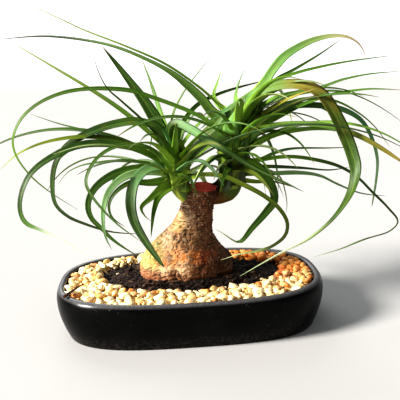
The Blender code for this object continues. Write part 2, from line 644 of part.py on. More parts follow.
def at_trunk(point, half):
    """Whether a leaf's edge would meet the trunk."""
    sideways, in_height = TRUNK_MARGINS
    reach = half + sideways
    for (low, left_a, right_a, deep_a), (high, left_b, right_b, deep_b) in zip(TRUNK_RINGS, TRUNK_RINGS[1:]):
        if low - in_height <= point.z <= high + in_height:
            if (min(left_a, left_b) - reach < point.x < max(right_a, right_b) + reach
                    and abs(point.y - TRUNK_Y) < max(deep_a, deep_b) + reach):
                return True
    return False


def out_of_place(path, top):
    """Whether a leaf touches the trunk, hangs too low, or strays out of the plant's reach."""
    for k, (point, half) in enumerate(path):
        if not (REACH_X[0] < point.x < REACH_X[1] and REACH_Y[0] < point.y < REACH_Y[1]):
            return True
        if not LEAF_FLOOR + FRONT_FLOOR * max(0.0, -point.y) < point.z < top:
            return True
        left, right, view_top = TRUNK_VIEW
        if point.y < TRUNK_VIEW_FROM and left < point.x < right and point.z < view_top:
            return True
        u, v = to_drawing(point)
        if any(u0 < u < u1 and v0 < v < v1 for u0, v0, u1, v1 in OPEN_VIEWS):
            return True
        if k > ROOTED_POINTS and at_trunk(point, half):
            return True
    return False


def stem_path(stem):
    """A stem as a path, for keeping the other shoot's leaves off it."""
    even = smooth_curve([Vector(row[:3]) for row in stem], STEM_CHECKS)
    radii = []
    for point in even:
        near = min(stem, key=lambda row: (Vector(row[:3]) - point).length)
        radii.append((point, near[3]))
    return radii


def settle_traced(rows, stem, others):
    """Every traced leaf of a shoot, slid along the sight lines until it clears the other shoot."""
    leaves = []
    for height, width, roll, tip_depth, drawn in rows:
        for slide in SLIDES:
            points = traced_route(stem, height, tip_depth, drawn, slide)
            path = leaf_path(points, width)
            if not near_path(path[1:], others, LEAF_CLEARANCE):
                leaves.append((points, width, roll, path))
                break
        else:
            print("no room for a traced leaf", height, tip_depth, drawn[-1])
    return leaves


def settle_crown(crown, stem, others):
    """The leaves that fill a shoot's crown, upright ones at the top and drooping ones lower down."""
    count, first, last, top, seed = crown
    top_rise, less, spread = CROWN_RISE
    rng = random.Random(seed)
    leaves = []
    for i in range(count):
        share = i / (count - 1)
        height = first + (last - first) * share
        for attempt in range(CROWN_TRIES):
            heading = GOLDEN_ANGLE * i + rng.uniform(-HEADING_SPREAD, HEADING_SPREAD) + NEXT_HEADING * attempt
            rise = math.radians(top_rise - less * share + rng.uniform(-spread, spread))
            length = rng.uniform(*CROWN_LENGTHS) * (1 - NEXT_LENGTH * attempt)
            to_viewer = max(0.0, -math.sin(heading))
            droop = math.radians(rng.uniform(*CROWN_DROOP)) * (1 - FRONT_DROOP * to_viewer)
            length *= 1 - FRONT_LENGTH * to_viewer
            width = rng.uniform(*CROWN_WIDTHS)
            roll = rng.uniform(-CROWN_ROLL, CROWN_ROLL)
            points = crown_route(stem, height, heading, rise, length, droop)
            path = leaf_path(points, width)
            if not out_of_place(path, top) and not near_path(path[1:], others, LEAF_CLEARANCE):
                leaves.append((points, width, roll, path))
                break
    return leaves


def blade(points, width, roll):
    """One leaf: a narrow strip, folded along its middle, over a keel."""
    even = smooth_curve(points, LEAF_SEGMENT)
    last = len(even) - 1
    along = (even[1] - even[0]).normalized()
    side = along.cross(Vector((0, 0, 1)))
    if side.length < UPRIGHT:
        side = Vector((1, 0, 0))
    if side.y > 0:
        roll = -roll
    side = Quaternion(along, math.radians(roll)) @ side.normalized()
    rings = []
    for k, point in enumerate(even[:-1]):
        ahead = (even[k + 1] - even[max(k - 1, 0)]).normalized()
        side = (side - ahead * side.dot(ahead)).normalized()
        up = side.cross(ahead)
        half = leaf_half_width(width, k / last)
        lift = up * (half * LEAF_FOLD)
        rings.append([point + side * half + lift, point - up * LEAF_KEEL, point - side * half + lift])
    return loft(rings, pointed=even[-1] - sum(rings[-1], Vector()) / 3)


def build_shoot(name, stem, leaves, collection, material):
    core = add_object(name, loft(stem_rings(stem)), collection, material)
    sheaf = new_collection(f"{name}_leaves")
    for points, width, roll, _ in leaves:
        add_object(f"{name}_leaf", blade(points, width, roll), sheaf)
    return union_all(core, sheaf, name)


def build_shoots(collection):
    green = make_material("leaf_green", (0.10, 0.22, 0.035), roughness=0.45)
    left_stem = stem_path(LEFT_STEM)
    right_stem = stem_path(RIGHT_STEM)
    left = settle_traced(LEFT_TRACED, LEFT_STEM, [right_stem])
    taken = [left_stem] + [leaf[3] for leaf in left]
    right = settle_traced(RIGHT_TRACED, RIGHT_STEM, taken)
    taken = [right_stem] + [leaf[3] for leaf in right]
    left += settle_crown(LEFT_CROWN, LEFT_STEM, taken)
    taken = [left_stem] + [leaf[3] for leaf in left]
    right += settle_crown(RIGHT_CROWN, RIGHT_STEM, taken)
    build_shoot("left_shoot", LEFT_STEM, left, collection, green)
    build_shoot("right_shoot", RIGHT_STEM, right, collection, green)
    print("leaves", len(left), len(right))


def main():
    clear_scene()
    collection = new_collection("ponytail_palm_bonsai")
    cutters = new_collection("cutters")
    build_pot(collection, cutters)
    build_soil(collection)
    build_gravel(collection)
    build_trunk(collection, cutters)
    build_shoots(collection)


main()
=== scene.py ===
import random
from math import atan2, cos, exp, hypot, pi, radians, sin, sqrt

import bmesh
import bpy
import numpy as np
from mathutils import Matrix, Quaternion, Vector, noise


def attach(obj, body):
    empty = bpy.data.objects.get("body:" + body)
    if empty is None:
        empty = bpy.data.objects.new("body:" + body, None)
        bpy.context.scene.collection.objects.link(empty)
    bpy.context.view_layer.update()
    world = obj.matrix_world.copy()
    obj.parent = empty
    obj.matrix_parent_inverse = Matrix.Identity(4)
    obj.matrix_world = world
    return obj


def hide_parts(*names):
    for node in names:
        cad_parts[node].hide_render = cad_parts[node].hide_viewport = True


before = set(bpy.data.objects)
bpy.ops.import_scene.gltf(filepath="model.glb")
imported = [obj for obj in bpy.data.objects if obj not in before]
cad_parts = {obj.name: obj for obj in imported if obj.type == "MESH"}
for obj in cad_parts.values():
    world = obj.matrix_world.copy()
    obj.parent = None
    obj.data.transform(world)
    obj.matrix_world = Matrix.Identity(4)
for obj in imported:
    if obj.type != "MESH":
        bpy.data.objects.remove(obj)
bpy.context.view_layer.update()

mm = 0.001   # sizes below are in millimetres, meshes in metres
fullTurn = 2 * pi
goldenAngle = radians(137.5)
upward = Vector((0, 0, 1))
scene = bpy.context.scene


def newObject(name, data):
    made = bpy.data.objects.new(name, data)
    scene.collection.objects.link(made)
    return made


# Shader maths: a Wire wraps a node's socket, and sums of wires add Math nodes
class Wire:
    def __init__(self, paint, plug):
        self.paint = paint
        self.plug = plug

    def math(self, operation, a, b=0.0):
        return self.paint.node("ShaderNodeMath", {"operation": operation}, {0: a, 1: b})[0]

    def __add__(self, other):
        return self.math("ADD", self, other)

    def __radd__(self, other):
        return self.math("ADD", other, self)

    def __sub__(self, other):
        return self.math("SUBTRACT", self, other)

    def __rsub__(self, other):
        return self.math("SUBTRACT", other, self)

    def __mul__(self, other):
        return self.math("MULTIPLY", self, other)

    def __rmul__(self, other):
        return self.math("MULTIPLY", other, self)

    def __abs__(self):
        return self.math("ABSOLUTE", self)


# One material: its nodes, and the few mixes that this plant's surfaces need
class Paint:
    def __init__(self, name):
        self.material = bpy.data.materials.new(name)
        self.material.use_nodes = True
        self.tree = self.material.node_tree
        self.spot = self.node("ShaderNodeTexCoord")[3]   # object space, which is the row frame

    def feed(self, socket, value):
        if isinstance(value, Wire):
            self.tree.links.new(value.plug, socket)
        else:
            socket.default_value = (*value, 1.0) if socket.type == "RGBA" else value

    def node(self, kind, settings=None, sockets=None):
        made = self.tree.nodes.new(kind)
        for key, value in (settings or {}).items():
            if key == "stops":   # of a ramp: (place, colour)
                for _ in value[2:]:
                    made.color_ramp.elements.new(1.0)
                for stop, (place, colour) in zip(made.color_ramp.elements, value):
                    stop.position = place
                    stop.color = (*colour, 1.0)
            else:
                setattr(made, key, value)
        for key, value in (sockets or {}).items():
            self.feed(made.inputs[key], value)
        return [Wire(self, plug) for plug in made.outputs]

    def attribute(self, name, plug=2):   # a number, or a colour at plug 0
        return self.node("ShaderNodeAttribute", {"attribute_name": name})[plug]

    def stretch(self, *scale):
        return self.node("ShaderNodeVectorMath", {"operation": "MULTIPLY"}, {0: self.spot, 1: scale})[0]

    def split(self):
        return self.node("ShaderNodeSeparateXYZ", None, {0: self.spot})

    def join(self, x, y, z=0.0):
        return self.node("ShaderNodeCombineXYZ", None, {0: x, 1: y, 2: z})[0]

    def noise(self, scale, detail, rough, vector=None, warp=0.0):
        return self.node("ShaderNodeTexNoise", None,
                         {"Vector": vector or self.spot, "Scale": scale, "Detail": detail, "Roughness": rough,
                          "Distortion": warp})[0]

    def cells(self, scale):
        return self.node("ShaderNodeTexVoronoi", None, {"Vector": self.spot, "Scale": scale})[0]

    def fit(self, value, low, high, newLow=0.0, newHigh=1.0):
        return self.node("ShaderNodeMapRange", None, {0: value, 1: low, 2: high, 3: newLow, 4: newHigh})[0]

    def mix(self, factor, a, b, blend="MIX"):
        return self.node("ShaderNodeMix", {"data_type": "RGBA", "blend_type": blend},
                         {0: factor, 6: a, 7: b})[2]

    def coats(self, colours, first, *coats):   # a coat: where it lies, and its colour or that colour's name
        colour = colours.get(first, first)
        for mask, over in coats:
            colour = self.mix(mask, colour, colours.get(over, over))
        return colour

    def bump(self, height, strength, distance, **more):
        return self.node("ShaderNodeBump", None,
                         {"Strength": strength, "Distance": distance, "Height": height, **more})[0]

    def finish(self, colour, rough, **more):
        shader = self.tree.nodes["Principled BSDF"]
        for key, value in {"Base_Color": colour, "Roughness": rough, **more}.items():
            self.feed(shader.inputs[key.replace("_", " ")], value)
        return self.material


def screen(red, green, blue):   # a colour as a screen's 0 to 255 values
    return tuple(c / 255 / 12.92 if c <= 10 else ((c / 255 + 0.055) / 1.055) ** 2.4
                 for c in (red, green, blue))


# Camera: the photograph's own viewpoint, which is also the eye of the leaves' front drawing
drawing = {
    "target": Vector((12.6, 0.0, 113.8)),
    "distance": 600.0,
    "azimuth": radians(-4.0),
    "elevation": radians(12.4),
    "roll": radians(-2.1),
    "scale": 643.5,     # drawing units for a millimetre seen from a millimetre away
    "centre": 200.0,    # the drawing is 400 units wide
    "sensor": 36.0,
}


def swing(angle, radius, z=0.0):
    return Vector((radius * cos(angle), radius * sin(angle), z))


def drawingAxes():
    flat = cos(drawing["elevation"])
    turn = drawing["azimuth"]
    toEye = Vector((sin(turn) * flat, -cos(turn) * flat, sin(drawing["elevation"])))
    right = swing(turn, 1.0)
    roll = Matrix.Rotation(drawing["roll"], 3, toEye)
    return toEye, roll @ right, roll @ toEye.cross(right)


def makeCamera():
    toEye, right, up = drawingAxes()
    camera = newObject("camera", bpy.data.cameras.new("camera"))
    place = Matrix((right, up, toEye)).transposed().to_4x4()
    place.translation = (drawing["target"] + toEye * drawing["distance"]) * mm
    camera.matrix_world = place
    camera.data.sensor_width = drawing["sensor"]
    camera.data.lens = drawing["scale"] / (2 * drawing["centre"]) * drawing["sensor"]
    scene.camera = camera


makeCamera()
print("camera placed")


# Curves and meshes
def clamp(value):
    return min(max(value, 0.0), 1.0)


def smoothStep(value, low, high):
    t = clamp((value - low) / (high - low))
    return t * t * (3 - 2 * t)


def smoothCurve(points, spacing):   # evenly spaced points of a curve through the given ones
    fineSteps = 12
    ends = [points[0] * 2 - points[1], *points, points[-1] * 2 - points[-2]]
    fine = []
    for four in zip(ends, ends[1:], ends[2:], ends[3:]):
        times = [0.0]
        for p, q in zip(four, four[1:]):
            times.append(times[-1] + max(sqrt((q - p).length), 1e-3))
        for k in range(fineSteps):
            t = times[1] + (times[2] - times[1]) * k / fineSteps
            row = four
            for reach in (1, 2):
                row = [p.lerp(q, (t - a) / (b - a))
                       for p, q, a, b in zip(row, row[1:], times, times[reach:])]
            fine.append(row[0].lerp(row[1], (t - times[1]) / (times[2] - times[1])))
    fine.append(points[-1])
    runs = [0.0]
    for p, q in zip(fine, fine[1:]):
        runs.append(runs[-1] + (q - p).length)
    count = max(3, round(runs[-1] / spacing))
    even = []
    k = 0
    for i in range(count + 1):
        want = runs[-1] * i / count
        while k < len(runs) - 2 and runs[k + 1] < want:
            k += 1
        share = (want - runs[k]) / max(runs[k + 1] - runs[k], 1e-6)
        even.append(fine[k].lerp(fine[k + 1], min(share, 1.0)))
    return even


def smoothProfile(points, steps):   # a curve through rows of numbers, with so many steps between two
    ends = [points[0], *points, points[-1]]
    rows = []
    for a, b, c, d in zip(ends, ends[1:], ends[2:], ends[3:]):
        for k in range(steps):
            t = k / steps
            rows.append([0.5 * (2 * q + (r - p) * t + (2 * p - 5 * q + 4 * r - s) * t * t
                                + (3 * q - p - 3 * r + s) * t ** 3) for p, q, r, s in zip(a, b, c, d)])
    rows.append(points[-1])
    return rows


def ovalRadius(angle, halfLength, halfWidth, squareness):
    across = abs(cos(angle) / halfLength) ** squareness
    along = abs(sin(angle) / halfWidth) ** squareness
    return (across + along) ** (-1.0 / squareness)


def around(count):
    return (fullTurn * i / count for i in range(count))


def headingAt(points, k):
    return (points[min(k + 1, len(points) - 1)] - points[max(k - 1, 0)]).normalized()


# A heap gathers tubes and small solids into one mesh, with values at its points that materials read
class Heap:
    def __init__(self, *layerNames):
        self.points = []
        self.faces = []
        self.layers = {name: [] for name in layerNames}

    def ring(self, points, **values):
        self.points.extend(points)
        for name, value in values.items():
            self.layers[name].extend(value if isinstance(value, list) else [value] * len(points))

    def close(self, rings, columns, caps="both", flip=False):   # a skin over the last rings
        start = len(self.points) - rings * columns
        last = len(self.points) - columns
        faces = [(a + c, a + (c + 1) % columns, a + columns + (c + 1) % columns, a + columns + c)
                 for a in range(start, last, columns) for c in range(columns)]
        if caps == "both":
            faces.append(tuple(range(start, start + columns))[::-1])
        if caps != "none":
            faces.append(tuple(range(last, last + columns)))
        self.faces.extend(face[::-1] if flip else face for face in faces)

    def add(self, points, faces, **values):
        start = len(self.points)
        self.ring(points, **values)
        self.faces.extend(tuple(start + i for i in face) for face in faces)

    def newPiece(self, name, material, slotName, cadNode):
        mesh = bpy.data.meshes.new(name)
        mesh.from_pydata([tuple(p) for p in self.points], [], self.faces)
        mesh.transform(Matrix.Scale(mm, 4))
        mesh.shade_smooth()
        for layerName, values in self.layers.items():
            table = np.asarray(values, dtype=np.float32)
            if table.ndim == 1:
                mesh.attributes.new(layerName, "FLOAT", "POINT").data.foreach_set("value", table)
            else:   # a colour for each point
                table = np.hstack((table, np.ones((len(table), 1), dtype=np.float32))).ravel()
                mesh.attributes.new(layerName, "FLOAT_COLOR", "POINT").data.foreach_set("color", table)
        mesh.materials.append(material)
        piece = newObject(name, mesh)
        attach(piece, "root")
        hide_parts(cadNode)
        return piece


# Pot: the same oval wall as the solid, finely turned
pot = {
    "halfLength": 124.0,
    "halfWidth": 82.0,
    "height": 43.0,
    "lipSquareness": 2.7,
    "footSquareness": 3.2,
    "around": 288,
    "stepsUpWall": 6,          # rings between two points of the wall
    # inset from the widest oval, height
    "wall": [(11.0, 0.0), (9.4, 1.4), (5.2, 11.0), (1.6, 22.0), (0.0, 32.0), (0.4, 38.5), (2.0, 42.2),
             (4.0, 43.0), (6.4, 42.4), (7.8, 40.0), (9.0, 33.0), (12.5, 14.0), (16.0, 8.6), (21.0, 7.0)],
    "drift": 0.18,             # how far its wall strays from the true oval
    "drainAt": (-62.0, 62.0),
    "drainRadius": 6.0,
    "sharpFrom": radians(50),
    "glaze": (0.0022, 0.0023, 0.0022),
    "wornGlaze": (0.0085, 0.0085, 0.0080),
    # the lip's top is paler: bare worn glaze, and a painted reflection of the bright surroundings
    "bareLip": (0.105, 0.102, 0.106),
    "dust": (0.23, 0.20, 0.17),
    "roughness": (0.22, 0.42),
    "coat": 0.05,
    "specular": 0.11,
}


def potRadius(angle, inset, z):
    foot, lip = pot["footSquareness"], pot["lipSquareness"]
    squareness = foot + (lip - foot) * clamp(z / pot["height"])
    return ovalRadius(angle, pot["halfLength"] - inset, pot["halfWidth"] - inset, squareness)


def potMaterial():
    paint = Paint("blackGlaze")
    fit = paint.fit
    cloud = paint.noise(38.0, 5.0, 0.6)
    fine = paint.noise(420.0, 3.0, 0.6)
    height = paint.split()[2]
    dust = fit(paint.cells(210.0), 0.16, 0.05) * fit(paint.noise(21.0, 3.0, 0.6), 0.52, 0.70)
    lip = fit(height, 0.0400, 0.0420)
    foot = fit(height, 0.014, 0.001) * fit(fine, 0.45, 0.62)
    colour = paint.coats(
        pot, "glaze",
        (fit(cloud, 0.45, 0.75) * 0.6, "wornGlaze"),
        # a paler lip: wear, and painted reflection
        (lip * fit(fine, 0.25, 0.60, 0.55, 1.0), "bareLip"),
        (foot * 0.2, "dust"),
        (dust * 0.55, "dust"))
    rough = fit(cloud, 0.3, 0.75, *pot["roughness"]) + dust * 0.3 + lip * 0.08
    ripple = paint.bump(paint.noise(60.0, 2.0, 0.5), 0.12, 0.0012)
    return paint.finish(colour, rough, Normal=paint.bump(fine, 0.10, 0.0003, Normal=ripple),
                        Coat_Weight=lip * 0.4 + pot["coat"], Coat_Roughness=0.18,
                        Specular_IOR_Level=pot["specular"])


def makePot():
    heap = Heap()
    profile = smoothProfile(pot["wall"], pot["stepsUpWall"])
    for inset, z in profile:
        z = min(max(z, 0.0), pot["height"])
        ring = []
        for angle in around(pot["around"]):
            drift = pot["drift"] * noise.noise(swing(angle, 2.2, z * 0.06)) if z >= 1.0 else 0.0
            ring.append(swing(angle, potRadius(angle, inset + drift, z), z))
        heap.ring(ring)
    heap.close(len(profile), pot["around"])
    piece = heap.newPiece("potShell", potMaterial(), "black_glaze", "pot")
    for x in pot["drainAt"]:
        bpy.ops.mesh.primitive_cylinder_add(vertices=48, radius=pot["drainRadius"] * mm, depth=0.03,
                                            location=(x * mm, 0, 0))
        drill = bpy.context.active_object
        cut = piece.modifiers.new("drain", "BOOLEAN")
        cut.operation = "DIFFERENCE"
        cut.object = drill
        bpy.context.view_layer.objects.active = piece
        bpy.ops.object.modifier_apply(modifier="drain")
        bpy.data.objects.remove(drill)
    piece.data.set_sharp_from_angle(angle=pot["sharpFrom"])


makePot()
print("pot turned")


# Trunk: swollen foot, corky plates, wrinkled neck and an old sawn top
trunk = {
    "y": 2.0,
    "around": 340,
    "steps": 14,               # rings between two of the sections below
    "buried": [(34.0, -46.5, 39.5, 31.0), (39.0, -47.5, 40.2, 31.6)],
    # height, left edge, right edge, half depth
    "sections": [(44, -48.0, 40.5, 32.0), (50, -48.7, 41.0, 33.0), (57, -47.0, 39.5, 32.5),
                 (64, -43.0, 35.0, 31.0), (70, -38.2, 30.0, 28.5), (76, -31.5, 26.0, 26.0),
                 (82, -24.8, 24.0, 23.0), (88, -18.5, 23.5, 20.0), (94, -13.0, 23.5, 17.8),
                 (100, -9.0, 24.0, 16.5), (106, -6.0, 25.0, 15.8), (112, -4.5, 27.0, 15.5),
                 (118, -3.5, 29.0, 15.3), (123, -1.0, 30.0, 14.5), (126, 1.5, 29.0, 13.0)],
    "squareness": 2.2,
    # lobes and furrows of the foot: how many, their twist up the height, phase, share of the radius
    "lobes": [(3, 0.0, 0.9, 0.035), (5, 0.05, 0.0, 0.03), (11, 0.11, 0.0, 0.014)],
    "lobesFull": 46.0,         # half width from which they are full
    "cutTilt": (0.07, -0.16),  # the sawn top falls to the right and to the front
    "cutTop": (118.0, 126.0),  # heights over which the wall takes on that tilt
    "cutRings": (0.985, 0.96, 0.93, 0.89, 0.84, 0.77, 0.69, 0.60, 0.50, 0.40, 0.30, 0.20, 0.11, 0.04),
    "lump": 1.5,
    "crackDepth": 1.15,
    "fineCrackDepth": 0.2,
    "pitDepth": 0.6,
    "grain": 1.15,
    "neck": (78.0, 102.0),     # heights over which the foot's cracks give way to wrinkles
    "wrinkle": 0.5,
    "wrinklePitch": 2.5,
    "knots": [(-6.8, 92.6, 1.5), (-2.4, 89.6, 2.3), (0.4, 93.0, 1.2), (-14.0, 82.0, 1.6)],   # x, z, radius
    "tan": screen(214, 188, 154),
    "brown": screen(164, 122, 82),
    "deepBrown": screen(98, 54, 22),
    # painted shade, in the grooves and on the foot's lower right
    "crackBrown": screen(54, 35, 22),
    "orange": screen(214, 124, 36),
    "ash": screen(246, 230, 196),
    "cream": screen(202, 192, 112),
    "gold": screen(228, 188, 124),
    "rootTan": screen(200, 138, 100),
    "rootBrown": screen(158, 98, 58),
    # the orange marks in painted shade
    "orangeInShade": screen(146, 66, 26),
    "shadedRed": screen(86, 48, 24),
    "cutRed": screen(255, 112, 98),
    "cutDark": screen(240, 70, 60),
}


def trunkPoint(angle, z, left, right, halfDepth):
    halfWidth = (right - left) / 2
    spread = min(1.0, halfWidth / trunk["lobesFull"]) ** 2
    lobes = sum(high * sin(count * angle + twist * z + phase) for count, twist, phase, high in trunk["lobes"])
    r = ovalRadius(angle, halfWidth, halfDepth, trunk["squareness"]) * (1 + spread * lobes)
    return Vector(((left + right) / 2 + r * cos(angle), trunk["y"] + r * sin(angle), z))


def stretched(p, across, tall):   # a place in the noise, for marks that are drawn out or squat
    return Vector((p.x * across, p.y * across, p.z * tall))


def crackLine(p, width):   # 1 along a wandering line, 0 beside it
    return 1.0 - smoothStep(abs(noise.noise(p)), 0.0, width)


def knotRelief(p):   # rings of bark round old leaf scars on the front: how high, and how dark, that dark being painted shade in their pits
    high, dark = 0.0, 0.0
    if p.y < trunk["y"]:
        for x, z, r in trunk["knots"]:
            away = hypot((p.x - x) * 0.8, p.z - z) / r
            high += 0.7 * exp(-((away - 1.2) / 0.42) ** 2) - 1.5 * exp(-(away / 0.62) ** 2)
            dark += exp(-(away / 0.6) ** 2)
    return high, dark


def barkRelief(p):   # how far the bark stands out, and how dark its grooves are with painted shade
    asides = ((0, 0, 0), (9, 4, 2), (3, 8, 5))
    q = p + Vector([noise.noise(p * 0.13 + Vector(aside)) for aside in asides]) * 3.8
    neck = smoothStep(p.z, *trunk["neck"])
    patchy = smoothStep(noise.noise(p * 0.07 + Vector((2, 7, 1))), -0.4, 0.25)
    level = crackLine(stretched(q, 0.08, 0.22), 0.10)
    upright = crackLine(stretched(q, 0.16, 0.06), 0.10) * (1 - 0.8 * neck)
    short = crackLine(stretched(q, 0.36, 0.62) + Vector((4, 4, 4)), 0.16)
    pits = smoothStep(noise.noise(q * 0.5 + Vector((1, 5, 9))), 0.30, 0.55)
    crack = max(level, upright) * (0.25 + 0.75 * patchy) * (1 - 0.6 * neck)
    wave = sin(p.z * 2 * pi / trunk["wrinklePitch"] + 4.0 * noise.noise(p * 0.08))
    wrinkle = (0.25 + 0.75 * neck) * wave * (0.5 + noise.noise(p * 0.16))
    scaly = noise.fractal(stretched(q, 0.15, 0.27), 0.8, 2.1, 3)
    offset = (trunk["lump"] * noise.noise(p * 0.07) * (1 - 0.6 * neck) + trunk["grain"] * scaly
              - trunk["crackDepth"] * crack - trunk["fineCrackDepth"] * short - trunk["pitDepth"] * pits
              + trunk["wrinkle"] * wrinkle)
    # painted shade: darker in cracks, pits and wrinkle troughs, lighter on raised plates
    groove = 0.8 * crack + 0.2 * short + 0.5 * pits - 0.45 * scaly + 0.8 * max(0.0, -wrinkle)
    high, dark = knotRelief(p)
    return offset + high, clamp(groove + dark)


def barkMaterial():
    paint = Paint("corkyBark")
    fit = paint.fit
    x, y, z = paint.split()   # metres
    groove, cut = paint.attribute("groove"), paint.attribute("cut")
    broad = paint.noise(34.0, 4.0, 0.6)
    patches = paint.noise(95.0, 5.0, 0.65)
    grain = paint.noise(560.0, 4.0, 0.65, paint.stretch(1.0, 1.0, 0.5))
    folds = paint.noise(430.0, 3.0, 0.6, paint.stretch(0.2, 0.2, 1.5))
    rays = paint.noise(300.0, 4.0, 0.6, paint.stretch(1.0, 1.0, 0.2), 1.2)
    belt = fit(abs(z - 0.066), 0.010, 0.003) * fit(abs(x + 0.004), 0.042, 0.016)
    neck = fit(z + (broad - 0.5) * 0.01, 0.103, 0.109)
    # painted shade: the trunk's right side darker, away from the key light
    shadeRight = fit(x + (broad - 0.5) * 0.04, -0.002, 0.011)
    lit = fit(z, 0.086, 0.092) * fit(x, 0.000, -0.006) * (1 - neck)
    # painted shade: the lower right of the foot darkest
    shadeLowRight = fit(x, 0.004, 0.030) * fit(z, 0.086, 0.060)
    # the bulb's left edge: painted light makes it paler cream above the root, which keeps its own tan lower
    # down
    side = fit(x + (patches - 0.5) * 0.02, -0.022, -0.036)
    # darker towards the foot
    nearFoot = fit(z + (patches - 0.5) * 0.012, 0.054, 0.047)
    wrinkled = fit(z, 0.074, 0.090) * (1 - cut)
    colour = paint.coats(
        trunk, "brown",
        (fit(broad, 0.40, 0.60), "tan"),
        (fit(patches, 0.54, 0.38) * 0.75, "deepBrown"),
        (fit(z, 0.060, 0.051) * 0.55, "rootBrown"),
        (shadeRight * 0.85, "deepBrown"),
        (lit * 0.6, "gold"),
        (shadeLowRight * 0.7, "crackBrown"),
        # painted light: the bulb's left edge paler cream
        (side * fit(z, 0.053, 0.058) * 0.7, "cream"),
        (side * fit(z, 0.056, 0.051) * 0.7, "rootTan"),
        (nearFoot * 0.6, "deepBrown"),
        # orange marks, turning to their painted-shade copy on the right side
        (fit(patches, 0.42, 0.54) * belt * 0.75, paint.mix(shadeRight, trunk["orange"], trunk["orangeInShade"])),
        (neck * 0.88, "shadedRed"),
        (fit(grain, 0.54, 0.75) * 0.5, "ash"),
        (fit(grain, 0.44, 0.28) * 0.4, "deepBrown"),
        (wrinkled * fit(folds, 0.47, 0.34) * 0.6, "deepBrown"),
        (wrinkled * fit(folds, 0.54, 0.68) * (1 - shadeRight) * 0.5, "ash"),
        # painted shade in the grooves
        (fit(groove, 0.22, 0.9) * 0.75, "crackBrown"),
        (cut, paint.mix(fit(rays, 0.38, 0.62), trunk["cutDark"], trunk["cutRed"])))
    rise = grain * 0.5 + patches * 0.5 + folds * wrinkled * 0.8 - groove * 0.3
    return paint.finish(colour, fit(grain, 0.3, 0.7, 0.92, 0.72), Normal=paint.bump(rise, 0.5, 0.0009))


def makeTrunk():
    heap = Heap("groove", "cut")
    sections = smoothProfile(trunk["buried"] + trunk["sections"], trunk["steps"])
    left, right = trunk["sections"][-1][1:3]
    cutMiddle = (left + right) / 2
    tiltX, tiltY = trunk["cutTilt"]
    for z, left, right, halfDepth in sections:
        tilted = smoothStep(z, *trunk["cutTop"])
        centre = Vector(((left + right) / 2, trunk["y"], z))
        ring, grooves = [], []
        for angle in around(trunk["around"]):
            p = trunkPoint(angle, z, left, right, halfDepth)
            offset, groove = barkRelief(p)
            p = p + (p - centre).normalized() * offset
            p.z -= tilted * (tiltX * (p.x - cutMiddle) + tiltY * (p.y - trunk["y"]))
            ring.append(p)
            grooves.append(groove)
        heap.ring(ring, groove=grooves, cut=0.0)
    hub = sum(ring, Vector()) / len(ring)
    for share in trunk["cutRings"]:   # rings across the sawn top, from the rim inwards
        dish = 0.5 * (1 - share ** 6) - 0.6 * (1 - abs(2 * share - 1)) ** 2
        sawn = []
        for edge in ring:
            p = hub.lerp(edge, share)
            ridge = 0.28 * noise.fractal(p * 0.8, 0.9, 2.0, 4) + 0.16 * sin(share * 34)
            sawn.append(Vector((p.x, p.y, p.z - dish + ridge)))
        # a little painted groove shade at the sawn top's rim
        heap.ring(sawn, groove=0.25 * smoothStep(share, 0.9, 1.0), cut=smoothStep(share, 0.99, 0.93))
    heap.close(len(sections) + len(trunk["cutRings"]), trunk["around"], caps="last")
    heap.newPiece("trunkBark", barkMaterial(), "corky_bark", "trunk")


makeTrunk()
print("trunk grown")


# Chunks: crumbs, chips and pebbles
def ballMesh(subdivisions):
    bm = bmesh.new()
    bmesh.ops.create_icosphere(bm, subdivisions=subdivisions, radius=1.0)
    points = [v.co.copy() for v in bm.verts]
    faces = [tuple(v.index for v in face.verts) for face in bm.faces]
    bm.free()
    return points, faces


def chunk(ball, size, turn, centre, lumps, rng, sharpness=2.0):
    seed = Vector([rng.uniform(-50, 50) for _ in range(3)])
    points = []
    for p in ball:
        r = 1.0 + lumps * noise.noise(p * 1.3 + seed) + 0.35 * lumps * noise.noise(p * 3.1 + seed)
        q = p * (r * sum(abs(c) ** sharpness for c in p) ** (-1 / sharpness))
        points.append(centre + turn @ Vector([c * s for c, s in zip(q, size)]))
    return points


def tumble(rng, *tilts):   # any turn about z, then chance tilts about x and y
    turn = Matrix.Rotation(rng.uniform(0, fullTurn), 3, "Z")
    for axis, tilt in zip("XY", tilts):
        turn = turn @ Matrix.Rotation(rng.gauss(0, tilt), 3, axis)
    return turn


